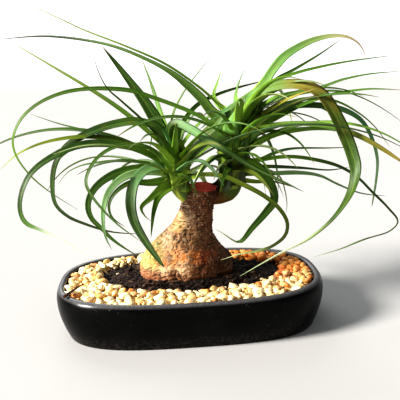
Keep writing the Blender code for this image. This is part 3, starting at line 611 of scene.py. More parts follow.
# Soil: dark bark compost, mounded to the trunk
soil = {
    "atGravel": 37.5,
    "atTrunk": 46.0,
    "underGravel": 33.0,
    "wallInset": 9.4,
    "bareCentre": (1.0, 8.5),
    "bareHalfLength": 84.0,
    "bareHalfWidth": 46.0,
    "bareSquareness": 2.6,
    "bareTurn": radians(-3.0),   # its right end lies nearer the front
    "bareWander": ((3, 0.6, 2.4), (7, 0.0, 1.5)),   # waves of its edge: how many, phase, height
    "around": 420,
    "ringsOut": 62,
    "ringsUnder": 14,
    "lump": 1.1,
    "crumb": 1.3,
    "chips": 1500,
    "chipSize": (0.9, 3.0),
    "strayPebbles": [(-65, -24, 3.2), (-69, 19, 2.0), (-72, 34, 2.4), (66, -22, 2.2), (52, 30, 1.8)],
    # tone, radius and run of a stick and of fibres
    "twigs": [
        (1.7, 1.5, [(-112, -49, 44.8), (-106, -35, 45.2), (-98, -21, 46.0)]),
        (0.95, 0.4, [(-66, -1, 45.5), (-61, -4, 45.9), (-54, -8, 45.4)]),
        (0.95, 0.4, [(-40, -30, 46.0), (-33, -33, 46.5), (-25, -33, 46.0)]),
        (0.95, 0.4, [(30, -26, 46.5), (38, -22, 46.8), (47, -21, 46.0)]),
        (0.95, 0.4, [(58, 6, 45.6), (64, 2, 45.9), (72, 1, 45.2)]),
    ],
    "sharpFrom": radians(38),
    "dark": screen(19, 11, 9),
    "brown": screen(56, 35, 27),
    "fibre": screen(122, 92, 66),
    "pale": screen(226, 208, 170),
    "sand": screen(146, 108, 62),
    "stickBrown": screen(88, 52, 26),
}


def bareEdge(angle):
    r = ovalRadius(angle - soil["bareTurn"], soil["bareHalfLength"], soil["bareHalfWidth"],
                   soil["bareSquareness"])
    r += sum(high * sin(count * angle + phase) for count, phase, high in soil["bareWander"])
    x, y = soil["bareCentre"]
    return Vector((x + r * cos(angle), y + r * sin(angle), 0.0))


def soilHeight(outward, x, y):
    height = soil["atTrunk"] + (soil["atGravel"] - soil["atTrunk"]) * outward
    lumps = sin(0.31 * x) * cos(0.37 * y) + sin(0.53 * x - 0.44 * y) / 2
    return height + soil["lump"] * lumps * 4 * outward * (1 - outward)


def crumbs(x, y):
    p = Vector((x, y, 0.0))
    fine = noise.fractal(p * 0.6, 0.9, 2.1, 3)
    return soil["crumb"] * (0.7 * noise.fractal(p * 0.16, 0.8, 2.1, 3) + 0.45 * fine)


def soilSpot(angle, outward):
    inner = trunkPoint(angle, *trunk["sections"][0])
    inner.z = 0.0
    spot = inner.lerp(bareEdge(angle), outward)
    spot.z = soilHeight(clamp(outward), spot.x, spot.y) + crumbs(spot.x, spot.y)
    return spot


def soilMaterial():   # tones over 1 are the floor under the gravel, the stick and the stray pebbles
    paint = Paint("barkCompost")
    fit = paint.fit
    tone = paint.attribute("tone")
    clumps = paint.noise(150.0, 5.0, 0.65)
    crumb = paint.cells(620.0)
    colour = paint.coats(
        soil, "dark",
        (fit(clumps, 0.35, 0.66), "brown"),
        (fit(tone, 0.5, 0.95) * 0.7, "fibre"),
        (fit(tone, 1.05, 1.2), "sand"),
        (fit(tone, 1.5, 1.6), "stickBrown"),
        (fit(tone, 1.9, 2.0), "pale"),
        (fit(crumb, 0.30, 0.62) * 0.6, "dark"))
    return paint.finish(colour, fit(clumps, 0.3, 0.7, 0.95, 0.78),
                        Normal=paint.bump(clumps + crumb * 0.5, 0.7, 0.0010))


def layTwig(heap, tone, thick, points):   # a round stick that thins to its end
    even = smoothCurve([Vector(p) for p in points], 1.5)
    sides = 8
    for k, p in enumerate(even):
        r = thick * (1 - 0.75 * k / (len(even) - 1)) * (1 + 0.25 * noise.noise(p * 0.6))
        ahead = headingAt(even, k)
        side = ahead.cross(upward).normalized()
        up = side.cross(ahead)
        heap.ring([p + side * (r * cos(t)) + up * (r * sin(t)) for t in around(sides)], tone=tone)
    heap.close(len(even), sides)


def makeSoil():
    heap = Heap("tone")
    rng = random.Random(3)
    ringsOut, ringsUnder, low = soil["ringsOut"], soil["ringsUnder"], soil["underGravel"]
    for r in range(ringsOut):
        outward = -0.25 + 1.25 * r / (ringsOut - 1)
        edge = [soilSpot(angle, outward) for angle in around(soil["around"])]
        heap.ring(edge, tone=0.0)
    for r in range(1, ringsUnder):
        share = r / (ringsUnder - 1)
        ring = []
        for angle, p in zip(around(soil["around"]), edge):
            wall = swing(angle, potRadius(angle, soil["wallInset"], low), low)
            spot = p.lerp(wall, share)
            spot.z = p.z + (low - p.z) * smoothStep(share, 0.0, 0.35) + 0.5 * crumbs(spot.x, spot.y)
            ring.append(spot)
        heap.ring(ring, tone=1.3 * smoothStep(r, 2, 5))
    heap.close(ringsOut + ringsUnder - 1, soil["around"], caps="none", flip=True)
    ball, ballFaces = ballMesh(1)
    for _ in range(soil["chips"]):
        spot = soilSpot(rng.uniform(0, fullTurn), rng.uniform(0.02, 1.12))
        long = rng.uniform(*soil["chipSize"]) * rng.choice((0.6, 1.0, 1.0))
        size = (long, long * rng.uniform(0.35, 0.8), long * rng.uniform(0.18, 0.45))
        turn = tumble(rng, 0.4, 0.35)
        heap.add(chunk(ball, size, turn, spot + upward * (0.25 * size[2]), 0.5, rng, 3.5), ballFaces,
                 tone=rng.random() ** 1.5)
    ball, ballFaces = ballMesh(2)
    for x, y, r in soil["strayPebbles"]:
        centre = Vector((x, y, soilHeight(0.7, x, y) + crumbs(x, y) + 0.6))
        heap.add(chunk(ball, (r, r * 0.8, r * 0.6), tumble(rng), centre, 0.25, rng), ballFaces, tone=2.0)
    for twig in soil["twigs"]:
        layTwig(heap, *twig)
    piece = heap.newPiece("soilMound", soilMaterial(), "potting_soil", "soil")
    piece.data.set_sharp_from_angle(angle=soil["sharpFrom"])


makeSoil()
print("soil heaped")


# Gravel: cream river pebbles heaped between the bare soil and the pot's wall
gravel = {
    "bed": 33.5,
    "top": 44.2,
    "radius": (3.3, 5.3),
    "tries": 15000,
    "press": 0.93,          # how closely the pebbles nest
    "wallInset": 8.6,
    "wallAt": 38.0,         # height at which the wall's width is taken
    "most": 590,
    "lumps": 0.46,
    "grit": 1100,
    "gritRadius": (1.2, 2.3),
    "gritHeight": (37.0, 41.8),
    "white": screen(252, 240, 206),
    "cream": screen(248, 230, 184),
    "honey": screen(232, 184, 106),
    "rust": screen(196, 122, 52),
    "grey": screen(222, 202, 156),
    "stain": screen(160, 104, 52),
    "rightOrange": screen(228, 166, 88),
}


def pebbleMaterial():
    paint = Paint("creamPebbles")
    fit = paint.fit
    shift = paint.attribute("shift")   # so that no two pebbles look the same
    own = paint.node("ShaderNodeVectorMath", {"operation": "ADD"},
                     {0: paint.spot, 1: paint.join(shift, shift * 0.7)})[0]
    mottle = paint.noise(190.0, 4.0, 0.6, own)
    veins = paint.noise(95.0, 3.0, 0.6, own, 2.5)
    fine = paint.noise(900.0, 3.0, 0.6, own)
    stops = [(place, gravel[name]) for place, name in
             ((0.0, "white"), (0.34, "cream"), (0.70, "honey"), (0.84, "grey"), (0.97, "rust"))]
    colour = paint.coats(
        gravel, paint.node("ShaderNodeValToRGB", {"stops": stops}, {0: paint.attribute("tone")})[0],
        (fit(mottle, 0.52, 0.72) * 0.55, "honey"),
        (fit(mottle, 0.44, 0.28) * 0.6, "white"),
        (fit(abs(veins - 0.5), 0.022, 0.004) * 0.55, "stain"),
        (fit(fine, 0.60, 0.74) * 0.35, "stain"))
    x, y, z = paint.split()
    rightTinted = fit(x + y * 0.6, 0.030, 0.062) * fit(y, -0.034, 0.000)   # the far right end, except its front, is tinted orange
    colour = paint.mix(rightTinted * 0.9, colour, gravel["rightOrange"], "MULTIPLY")
    return paint.finish(colour, fit(mottle, 0.3, 0.7, 0.42, 0.68),
                        Normal=paint.bump(mottle + fine * 0.35, 0.28, 0.0007))


def dropIn(rng, radius, inset):   # a chance place: x, y, radius, and if it lies on the gravel
    x = rng.uniform(-pot["halfLength"], pot["halfLength"])
    y = rng.uniform(-pot["halfWidth"], pot["halfWidth"])
    r = rng.uniform(*radius)
    rim = potRadius(atan2(y, x), gravel["wallInset"] + r * inset, gravel["wallAt"])
    if hypot(x, y) >= rim:
        return x, y, r, False
    dx, dy = x - soil["bareCentre"][0], y - soil["bareCentre"][1]
    edge = bareEdge(atan2(dy, dx)) - Vector((*soil["bareCentre"], 0.0))
    return x, y, r, hypot(dx, dy) > edge.length + r


def settlePebbles(rng):
    placed = []
    for _ in range(gravel["tries"]):
        x, y, r, lands = dropIn(rng, gravel["radius"], 0.6)
        if not lands:
            continue
        z = gravel["bed"] + r * 0.6
        for a, b, c, s in placed:
            apart = hypot(x - a, y - b)
            reach = (r + s) * gravel["press"]
            if apart < reach:
                z = max(z, c + sqrt(reach * reach - apart * apart) * 0.72)
        if z + r * 0.68 < gravel["top"]:
            placed.append((x, y, z, r))
        if len(placed) == gravel["most"]:
            break
    return placed


def makeGravel():
    rng = random.Random(8)
    pebbles, grit = Heap("tone", "shift"), Heap("tone", "shift")
    ball, ballFaces = ballMesh(2)
    for x, y, z, r in settlePebbles(rng):
        size = (r * rng.uniform(1.05, 1.4), r * rng.uniform(0.72, 0.95), r * rng.uniform(0.55, 0.75))
        turn = tumble(rng, 0.28, 0.22)
        stone = chunk(ball, size, turn, Vector((x, y, z)), gravel["lumps"], rng, rng.uniform(2.1, 3.4))
        pebbles.add(stone, ballFaces, tone=rng.random(), shift=rng.uniform(0, 3))
    print("pebbles", len(pebbles.points) // len(ball))
    ball, ballFaces = ballMesh(1)
    while len(grit.points) < gravel["grit"] * len(ball):
        x, y, r, lands = dropIn(rng, gravel["gritRadius"], 1.0)
        if lands:
            turn = tumble(rng, 0.5)
            spot = Vector((x, y, rng.uniform(*gravel["gritHeight"])))
            grit.add(chunk(ball, (r * 1.3, r, r * 0.7), turn, spot, 0.5, rng, 3.0), ballFaces,
                     tone=rng.random(), shift=rng.uniform(0, 3))
    material = pebbleMaterial()
    pebbles.newPiece("pebbles", material, "cream_pebbles", "gravel")
    grit.newPiece("grit", material, "cream_pebbles", "gravel")


makeGravel()
print("gravel poured")


# Leaves: colours from root to tip, as (share of the length, red, green, blue). A look that doesn't start
# at 0 has the pale root
leafLooks = {
    "deep": [(0.14, 98, 134, 44), (0.38, 52, 84, 24), (0.90, 44, 72, 18), (1.0, 78, 67, 30)],
    "green": [(0.15, 114, 148, 54), (0.44, 74, 110, 34), (0.90, 60, 90, 27), (1.0, 99, 84, 37)],
    "fresh": [(0.0, 180, 204, 92), (0.20, 136, 168, 66), (0.54, 104, 138, 54), (0.88, 80, 108, 40),
        (1.0, 83, 77, 36)],
    "thin": [(0.15, 104, 138, 46), (0.42, 78, 108, 38), (0.62, 116, 138, 66), (1.0, 168, 176, 128)],
    "deepThin": [(0.14, 98, 134, 44), (0.36, 50, 80, 24), (0.74, 46, 72, 24), (0.84, 120, 142, 90),
        (1.0, 190, 198, 160)],
    "oliveThin": [(0.18, 126, 142, 56), (0.60, 84, 100, 34), (0.74, 84, 96, 40), (0.84, 140, 154, 100),
        (1.0, 196, 202, 160)],
    "spear": [(0.0, 88, 120, 52), (0.45, 120, 164, 92), (1.0, 76, 112, 56)],
    "sheath": [(0.0, 66, 96, 40), (0.35, 96, 132, 66), (0.70, 122, 158, 84), (1.0, 110, 142, 68)],
    "shadow": [(0.0, 58, 76, 34), (0.50, 44, 58, 22), (1.0, 70, 96, 36)],
    "hooked": [(0.05, 48, 74, 24), (0.23, 44, 70, 24), (0.27, 136, 168, 126), (0.44, 112, 150, 98),
        (0.56, 52, 82, 32), (1.0, 40, 64, 24)],
    "teal": [(0.12, 113, 146, 95), (0.46, 92, 131, 89), (0.66, 52, 82, 39), (1.0, 41, 65, 28)],
    "mint": [(0.20, 139, 168, 114), (0.70, 116, 149, 102), (1.0, 67, 90, 49)],
    "olive": [(0.18, 136, 152, 60), (0.60, 96, 110, 40), (1.0, 70, 67, 28)],
    "gold": [(0.0, 140, 151, 67), (0.30, 142, 147, 61), (0.70, 132, 122, 51), (1.0, 99, 80, 35)],
    "grey": [(0.0, 147, 161, 107), (0.40, 115, 131, 86), (1.0, 91, 104, 67)],
    "folded": [(0.0, 88, 122, 54), (0.16, 96, 132, 68), (0.22, 102, 124, 62), (0.28, 136, 120, 56),
        (0.34, 104, 100, 36), (0.41, 66, 84, 22), (0.52, 56, 80, 28), (0.71, 50, 74, 24),
        (0.78, 150, 172, 110), (0.85, 240, 248, 212), (1.0, 180, 204, 150)],
    "goldEnd": [(0.30, 110, 141, 62), (0.62, 99, 129, 54), (0.80, 134, 131, 58), (1.0, 139, 120, 58)],
    "fadedEnd": [(0.20, 88, 118, 62), (0.45, 76, 104, 56), (0.60, 94, 112, 66), (0.72, 132, 134, 96),
        (0.86, 164, 146, 114), (1.0, 178, 156, 132)],
    "tealToDeep": [(0.14, 116, 149, 99), (0.40, 100, 136, 91), (0.54, 44, 70, 28), (1.0, 36, 58, 22)],
    "paleEnd": [(0.10, 92, 124, 40), (0.30, 30, 58, 14), (0.68, 24, 50, 10), (0.76, 92, 124, 66),
        (0.84, 214, 224, 196), (1.0, 234, 240, 222)],
    "limeArc": [(0.14, 80, 116, 36), (0.36, 44, 70, 14), (0.62, 40, 64, 12), (0.76, 62, 90, 20),
        (0.90, 54, 76, 30), (1.0, 90, 104, 64)],
    "dark": [(0.12, 80, 110, 40), (0.34, 36, 66, 18), (0.74, 26, 52, 12), (1.0, 54, 82, 40)],
    "oliveArc": [(0.20, 70, 98, 30), (0.45, 74, 92, 26), (0.70, 112, 124, 34), (1.0, 126, 140, 44)],
    "tealWide": [(0.24, 60, 88, 36), (0.50, 52, 88, 50), (0.66, 58, 108, 70), (0.82, 108, 146, 98),
        (1.0, 96, 118, 90)],
    "lightToThin": [(0.0, 136, 161, 75), (0.20, 113, 147, 68), (0.62, 99, 134, 64), (0.74, 49, 70, 28),
        (1.0, 43, 55, 23)],
}

leaf = {
    "paleRoot": (0.0, 164, 190, 84),
    "spacing": 3.6,            # millimetres between two rings of a blade
    "pathSpacing": 7.0,
    "segment": 20.0,           # the solid's facets, which set how a blade starts to turn
    "across": (-1.0, -0.72, -0.4, 0.0, 0.4, 0.72, 1.0),   # points of a ring, in half widths
    "keel": 0.9,
    "edge": 0.16,              # thickness at the edges
    "fold": 0.22,              # rise of the edges over the half width
    "flare": 0.9,              # widening of the clasping base
    "flareLength": 34.0,
    "wave": 5.0,               # degrees that a blade wavers along its length
    # degrees that a blade turns over along its length, and where that starts and ends
    "twists": {"folded": (104.0, 0.32, 0.78), "paleEnd": (70.0, 0.68, 0.80),
               "lightToThin": (-44.0, 0.10, 0.50), "hooked": (-28.0, 0.60, 0.30),
               "deepThin": (60.0, 0.74, 0.84), "oliveThin": (60.0, 0.74, 0.84)},
    "taper": 0.8,
    # tapers of leaves that stay wide to the tip
    "blunt": {"tealToDeep": 0.45, "goldEnd": 0.3, "tealWide": 0.4},
    "stemSteps": 9,
    "stemAround": 64,
    "sheathStep": 2.3,
    "sheathTall": (24.0, 42.0),
    "sheathRings": 14,
    "sheathSpread": 0.62,      # radians to each side
    "sheathFlare": 3.4,
    "sheathsBelowTop": (26.0, 12.0),     # how far below the stem's top the last one starts, and all end
    "sheathThickness": 0.45,
    "sheathLooks": ("deep", "deep", "green", "olive", "fresh"),
    "clearance": 1.2,
    "floor": 60.0,
    "frontFloor": 0.4,         # rise of that floor towards the viewer
    "trunkView": (-32.0, 48.0, 136.0, -12.0),   # left, right, top and back of the free space before the trunk
    "trunkGap": 3.0,
    "reachX": (-196.0, 212.0),
    "reachY": (-148.0, 165.0),
    # windows of the front drawing (left, top, right, bottom) that show no more than the traced leaves
    "openViews": [(204, 55, 252, 97), (45, 96, 140, 118), (160, 84, 204, 112), (0, 45, 95, 84),
                  (95, 60, 150, 84), (262, 55, 350, 76), (0, 176, 36, 240), (60, 200, 100, 250),
                  (286, 176, 345, 235), (262, 206, 300, 250), (345, 60, 400, 84), (285, 133, 340, 145),
                  (40, 132, 78, 138), (345, 200, 400, 235), (50, 113, 112, 124), (302, 149, 346, 156),
                  (361, 148, 373, 235), (380, 152, 400, 200), (226, 204, 258, 245), (246, 194, 262, 210),
                  (113, 184, 127, 216)],
    "crownWidths": (5.0, 9.0),
    "crownRolls": (-30.0, 30.0),
    "crownLengths": (170.0, 285.0),
    "crownTries": 60,
    "crownHeading": (0.35, 0.11),         # radians: chance in a heading, and its turn at each new try
    "crownRise": (82.0, 78.0, 9.0),       # degrees: the first leaf's, how much less the last one's is, chance
    "crownDroop": (60.0, 120.0),
    "crownShrink": 0.006,                 # how much shorter a leaf gets at each new try
    "crownToViewer": (0.5, 0.38),         # how much less a leaf droops and reaches that comes to the viewer
    "slides": (0, 8, -8, 16, -16, 24, -24, 32, -32, 42, -42, 52, -52, 64, -64, 76, -76, 90, -90),
    "brightness": (0.76, 1.38),
    "vein": screen(140, 166, 78),
    "shade": screen(24, 40, 14),
    "dry": screen(130, 96, 50),
    "bloom": Vector(screen(150, 152, 128)),
    "waxy": 0.012,             # how much of the pale bloom lies over the green
    "woodBrown": screen(78, 38, 24),
    "woodTan": screen(150, 84, 50),
    "roughness": (0.36, 0.52),
}

# Stems as (x, y, z, radius). Traced leaves: height of the root on the stem, width, degrees that the upper
# face rolls to the front, depth of the tip, look, points on the front drawing. Clasping ones are short
# leaves and leaf bases over the stem: width, roll, depth, look, points
leftShoot = {
    "node": "left_shoot",
    "stem": [(5, 1, 111, 6.0), (1, 0, 117, 7.5), (-4, -1, 125, 8.7), (-8, -1, 136, 9.0), (-9, 0, 148, 7.5),
        (-10, 1, 160, 4.5)],
    "woodTo": 110.0,
    "stemLooks": ((220, 230, 110), (84, 112, 46)),   # colour at the foot and at the top
    "sheathsFrom": 126.0,
    "gain": 1.16,              # how light its leaves are
    "crown": (34, 156, 128, 196, 11),   # how many, first and last root height, greatest height, seed
    "crownLooks": ("deep", "deep", "green", "green", "green", "fresh", "olive", "teal", "thin"),
    "traced": [
        (150, 12.0, 62, 25, "deep", [(163, 134), (150, 110), (125, 75), (102, 46)]),
        (155, 6.0, 60, 48, "green", [(170, 140), (160, 110), (150, 80), (141, 57)]),
        (148, 4.5, 45, 40, "thin", [(163, 145), (150, 133), (120, 109), (90, 89), (50, 65), (8, 40)]),
        (152, 4.0, 45, -25, "green", [(163, 142), (140, 118), (120, 100), (107, 88), (97, 68), (94, 56)]),
        (146, 6.0, 50, -20, "oliveArc", [(160, 158), (120, 141), (80, 137), (40, 144), (15, 156),
            (0, 170)]),
        (144, 8.0, 50, -60, "paleEnd", [(140, 150), (90, 144), (60, 153), (30, 175), (20, 205), (25, 222),
            (42, 231), (60, 239), (78, 250), (94, 261)]),
        (156, 10.0, 76, -20, "dark", [(172, 143), (155, 127), (135, 122), (118, 124), (100, 129), (82, 137),
            (66, 148), (56, 164), (53, 185), (56, 204), (68, 216), (86, 224), (108, 231), (122, 233),
            (140, 234)]),
        (142, 4.5, 40, -75, "deep", [(150, 148), (125, 145), (105, 152), (92, 165), (86, 182), (92, 196),
            (115, 222), (143, 243)]),
        (140, 7.5, 70, -45, "deep", [(150, 168), (120, 172), (100, 183), (90, 196), (88, 208), (92, 219),
            (101, 228), (112, 239), (126, 249), (140, 257)]),
        (138, 8.0, 45, -68, "mint", [(150, 172), (125, 177), (110, 190), (104, 205), (103, 222), (106, 238),
            (112, 250)]),
        (136, 9.5, 55, -64, "tealToDeep", [(165, 167), (148, 169), (136, 180), (131, 200), (134, 220),
            (146, 242), (158, 259), (164, 267)]),
        (132, 6.5, 40, -82, "fresh", [(163, 188), (150, 199), (141, 208), (144, 215), (151, 221)]),
        (132, 5.5, 50, -55, "green", [(160, 195), (154, 210), (152, 225), (151, 238)]),
        (134, 6.0, 55, -15, "deep", [(150, 183), (130, 183), (114, 194), (109, 206), (112, 217),
            (125, 227)]),
        (146, 3.6, 30, 62, "deep", [(150, 150), (120, 140), (88, 131), (60, 124), (30, 114)]),
        (140, 4.4, 30, 20, "green", [(150, 164), (115, 161), (95, 163), (80, 166), (67, 173), (58, 184)]),
        (130, 6.5, 40, -74, "oliveThin", [(190, 179), (205, 175), (225, 177), (245, 186), (265, 197),
            (280, 210), (287, 223), (285, 235), (272, 246), (258, 251), (240, 254), (221, 260)]),
        (154, 8.0, 45, -80, "hooked", [(169, 130), (175, 123), (190, 129), (205, 138), (230, 153),
            (255, 168), (292, 186), (304, 192)]),
        (142, 11.0, 35, -78, "olive", [(185, 158), (195, 148), (210, 143), (222, 146)]),
        (158, 3.4, 60, 70, "green", [(172, 120), (182, 95), (200, 70), (214, 53)]),
        (156, 4.2, 40, 68, "deep", [(180, 128), (196, 106), (216, 95), (240, 87), (272, 79)]),
    ],
    "clasping": [
        (8.0, -80, -9, "fresh", [(177, 170), (177, 157), (178, 145), (180, 132)]),
        (7.0, -80, -10, "fresh", [(174, 168), (172, 156), (171, 146), (170, 136)]),
        (12.0, -80, -11, "fresh", [(181, 182), (181, 172), (185, 161), (194, 151), (208, 144)]),
        (10.0, 75, -12, "fresh", [(180, 178), (172, 165), (160, 155), (146, 149)]),
        (10.0, 75, -10, "green", [(180, 184), (174, 174), (164, 168), (152, 166)]),
        (6.0, -80, -10, "deep", [(185, 192), (186, 182), (190, 172)]),
    ],
}
rightShoot = {
    "node": "right_shoot",
    "stem": [(19, 3, 113, 6.0), (28, 4, 115, 7.2), (37, 5, 119.5, 10.5), (43, 5, 130, 11.5),
        (45, 5, 144, 12.0), (47, 5, 160, 12.5), (51, 5, 178, 13.0), (58, 5, 193, 11.5), (66, 5, 203, 8.5),
        (72, 5, 209, 5.0)],
    "woodTo": 117.0,
    # this stem's green, darkened with painted shade under its crown
    "stemLooks": ((60, 66, 34), (66, 96, 38)),
    "sheathsFrom": 119.0,
    "gain": 1.36,
    "crown": (38, 202, 132, 232, 29),
    "crownLooks": ("deep", "green", "green", "fresh", "fresh", "olive", "green", "olive", "grey", "thin"),
    "traced": [
        (172, 13.5, 74, -120, "folded", [(250, 100), (262, 91), (275, 87), (290, 85), (303, 86), (314, 90),
            (324, 98), (334, 113), (343, 131), (351, 150), (356, 170), (351, 193), (336, 216), (310, 238),
            (280, 253), (240, 276)]),
        (196, 8.5, 55, 25, "fadedEnd", [(264, 84), (273, 70), (284, 57), (297, 48), (314, 40), (332, 36),
            (347, 37), (358, 43), (364, 52), (366, 61)]),
        (192, 4.0, 40, 62, "green", [(270, 84), (285, 77), (300, 72), (320, 67), (345, 62), (365, 59),
            (396, 55)]),
        (194, 4.0, 40, 95, "deep", [(270, 84), (297, 68), (320, 54), (343, 38)]),
        (186, 5.0, 35, -35, "deep", [(275, 98), (300, 92), (322, 87), (345, 79), (370, 74), (402, 71)]),
        (168, 5.5, 40, 5, "green", [(270, 122), (300, 106), (330, 95), (345, 92), (370, 89), (404, 90)]),
        (176, 6.5, 40, -55, "gold", [(258, 118), (275, 106), (300, 94), (318, 88)]),
        (160, 7.0, 45, -70, "goldEnd", [(250, 131), (270, 126), (300, 124), (330, 127), (360, 137),
            (380, 148), (402, 162)]),
        (150, 7.5, 35, 15, "fresh", [(255, 145), (275, 135), (300, 130), (325, 129), (345, 132), (365, 141),
            (385, 152)]),
        (180, 7.5, 45, 10, "tealWide", [(262, 120), (290, 107), (320, 106), (345, 111), (362, 122),
            (372, 140), (377, 160), (376, 180), (372, 206)]),
        (184, 4.0, 30, 45, "green", [(270, 104), (300, 94), (325, 91), (345, 92), (365, 99), (385, 110),
            (405, 124)]),
        (182, 4.5, 35, -15, "green", [(275, 108), (305, 99), (335, 101), (360, 114), (375, 127),
            (390, 147)]),
        (142, 5.0, 35, -10, "deepThin", [(262, 160), (290, 157), (315, 160), (340, 167), (358, 178),
            (372, 192), (388, 208), (398, 222), (390, 231), (365, 239), (340, 249), (310, 258)]),
        (140, 5.5, 35, 105, "deep", [(258, 167), (300, 168), (330, 170), (350, 167)]),
        (146, 4.2, 30, 115, "deep", [(258, 160), (275, 153), (290, 149), (330, 148), (360, 147)]),
        (136, 5.5, 40, 65, "mint", [(265, 174), (300, 173), (320, 176), (337, 184), (360, 193),
            (386, 196)]),
        (144, 8.5, 40, -60, "deepThin", [(248, 165), (262, 172), (271, 185), (274, 200), (266, 212),
            (252, 228), (240, 242), (233, 240), (224, 234), (214, 228)]),
        (156, 3.4, 40, -45, "green", [(265, 132), (285, 133), (298, 141), (308, 153), (315, 166)]),
        (130, 4.6, 35, 35, "olive", [(255, 182), (275, 182), (293, 187)]),
        (134, 5.0, 40, 48, "grey", [(262, 170), (280, 177), (285, 190), (287, 205), (286, 213)]),
        (176, 10.5, 55, 15, "lightToThin", [(215, 116), (200, 98), (170, 73), (140, 57), (115, 47),
            (90, 41), (45, 36), (0, 39)]),
        (168, 6.0, 45, -38, "limeArc", [(212, 124), (190, 112), (150, 97), (130, 91), (90, 89), (60, 94),
            (35, 106), (20, 121), (13, 140), (16, 155), (30, 175), (50, 192), (78, 210)]),
        (190, 4.6, 60, 50, "fresh", [(222, 108), (214, 96), (217, 84), (222, 69)]),
        (192, 4.6, 60, 72, "green", [(238, 105), (236, 96), (238, 85), (245, 68)]),
        (188, 3.6, 30, 30, "thin", [(228, 112), (200, 88), (165, 64), (125, 46), (84, 30), (50, 14),
            (20, 1)]),
        (196, 5.0, 60, -20, "teal", [(246, 101), (234, 106), (220, 114), (209, 122), (199, 130)]),
    ],
    "clasping": [
        (20.0, -80, -8, "sheath", [(226, 146), (231, 129), (240, 113), (252, 101), (266, 91), (284, 85),
            (302, 84)]),
        (11.0, -85, -13, "spear", [(234, 135), (235, 125), (236, 116), (237, 107)]),
        (15.0, -75, -7, "olive", [(238, 160), (243, 145), (250, 130), (260, 118), (274, 108)]),
        (14.0, -75, -5, "sheath", [(236, 166), (240, 152), (249, 139), (262, 130), (280, 127)]),
        (17.0, -85, -8, "shadow", [(231, 188), (231, 172), (231, 156), (233, 140)]),
        (12.0, -80, -8, "shadow", [(236, 186), (238, 174), (240, 162), (246, 150)]),
    ],
}


def fromDrawing(u, v, depth):
    toEye, right, up = drawingAxes()
    eye = drawing["target"] + toEye * drawing["distance"]
    sight = right * (u - drawing["centre"]) + up * (drawing["centre"] - v) - toEye * drawing["scale"]
    return eye + sight * ((depth - eye.y) / sight.y)


def toDrawing(point):
    toEye, right, up = drawingAxes()
    offset = point - drawing["target"]
    scale = drawing["scale"] / (drawing["distance"] - offset.dot(toEye))
    return drawing["centre"] + scale * offset.dot(right), drawing["centre"] - scale * offset.dot(up)


def stemPoint(stem, height):
    for low, high in zip(stem, stem[1:]):
        if low[2] <= height <= high[2]:
            return Vector(low[:3]).lerp(Vector(high[:3]), (height - low[2]) / (high[2] - low[2]))
    return Vector(stem[-1][:3])


def tracedRoute(stem, height, tipDepth, drawn):
    root = stemPoint(stem, height)
    start = 0.18   # share of the depth gained before the first drawn point
    runs = [0.0]
    for (a, b), (c, d) in zip(drawn, drawn[1:]):
        runs.append(runs[-1] + hypot(c - a, d - b))
    deeper = tipDepth - root.y
    return [root] + [fromDrawing(u, v, root.y + deeper * (start + (1 - start) * run / runs[-1]))
                     for (u, v), run in zip(drawn, runs)]


def crownRoute(stem, height, heading, rise, length, droop):
    steps = 9
    points = [stemPoint(stem, height)]
    for k in range(steps):
        slope = rise - droop * ((k + 0.5) / steps) ** 1.25
        points.append(points[-1] + swing(heading, cos(slope) * length / steps, sin(slope) * length / steps))
    return points


def leafHalfWidth(width, along, taper=leaf["taper"]):
    return width / 2 * min(1.0, 1.4 * (1 - along) ** taper) * (1 + 0.25 * max(0.0, 1 - along / 0.12))


def leafPath(points, width):
    even = smoothCurve(points, leaf["pathSpacing"])
    return [(point, leafHalfWidth(width, k / (len(even) - 1))) for k, point in enumerate(even)]


def stemPath(stem):
    path = []
    for point in smoothCurve([Vector(row[:3]) for row in stem], 5.0):
        nearest = min(stem, key=lambda row: (Vector(row[:3]) - point).length)
        path.append((point, nearest[3]))
    return path


def nearPath(path, others):
    return any((point - spot).length < half + spotHalf + leaf["clearance"]
               for other in others for point, half in path for spot, spotHalf in other)


def nearTrunk(point, half):
    overlap = 4   # of the heights that two neighbouring sections stand for
    gap = half + leaf["trunkGap"]
    for low, high in zip(trunk["sections"], trunk["sections"][1:]):
        if low[0] - overlap <= point.z <= high[0] + overlap:
            left, right, deep = min(low[1], high[1]), max(low[2], high[2]), max(low[3], high[3])
            if left - gap < point.x < right + gap and abs(point.y - trunk["y"]) < deep + gap:
                return True
    return False


def outOfPlace(path, top):
    lowX, highX = leaf["reachX"]
    lowY, highY = leaf["reachY"]
    viewLeft, viewRight, viewTop, viewBack = leaf["trunkView"]
    for k, (point, half) in enumerate(path):
        x, y, z = point
        u, v = toDrawing(point)
        inReach = lowX < x < highX and lowY < y < highY
        if (not inReach or not leaf["floor"] + leaf["frontFloor"] * max(0.0, -y) < z < top
                or y < viewBack and viewLeft < x < viewRight and z < viewTop
                or any(a < u < c and b < v < d for a, b, c, d in leaf["openViews"])
                or k > 3 and nearTrunk(point, half)):
            return True
    return False


# Each leaf on its drawn line, slid in depth until it is clear of the others
def settleTraced(shoot, others):
    leaves = []
    for height, width, roll, tipDepth, look, drawn in shoot["traced"]:
        for step in leaf["slides"]:
            points = tracedRoute(shoot["stem"], height, tipDepth + step, drawn)
            path = leafPath(points, width)
            if not nearPath(path[1:], others):
                leaves.append((points, width, roll, path, look))
                break
    return leaves


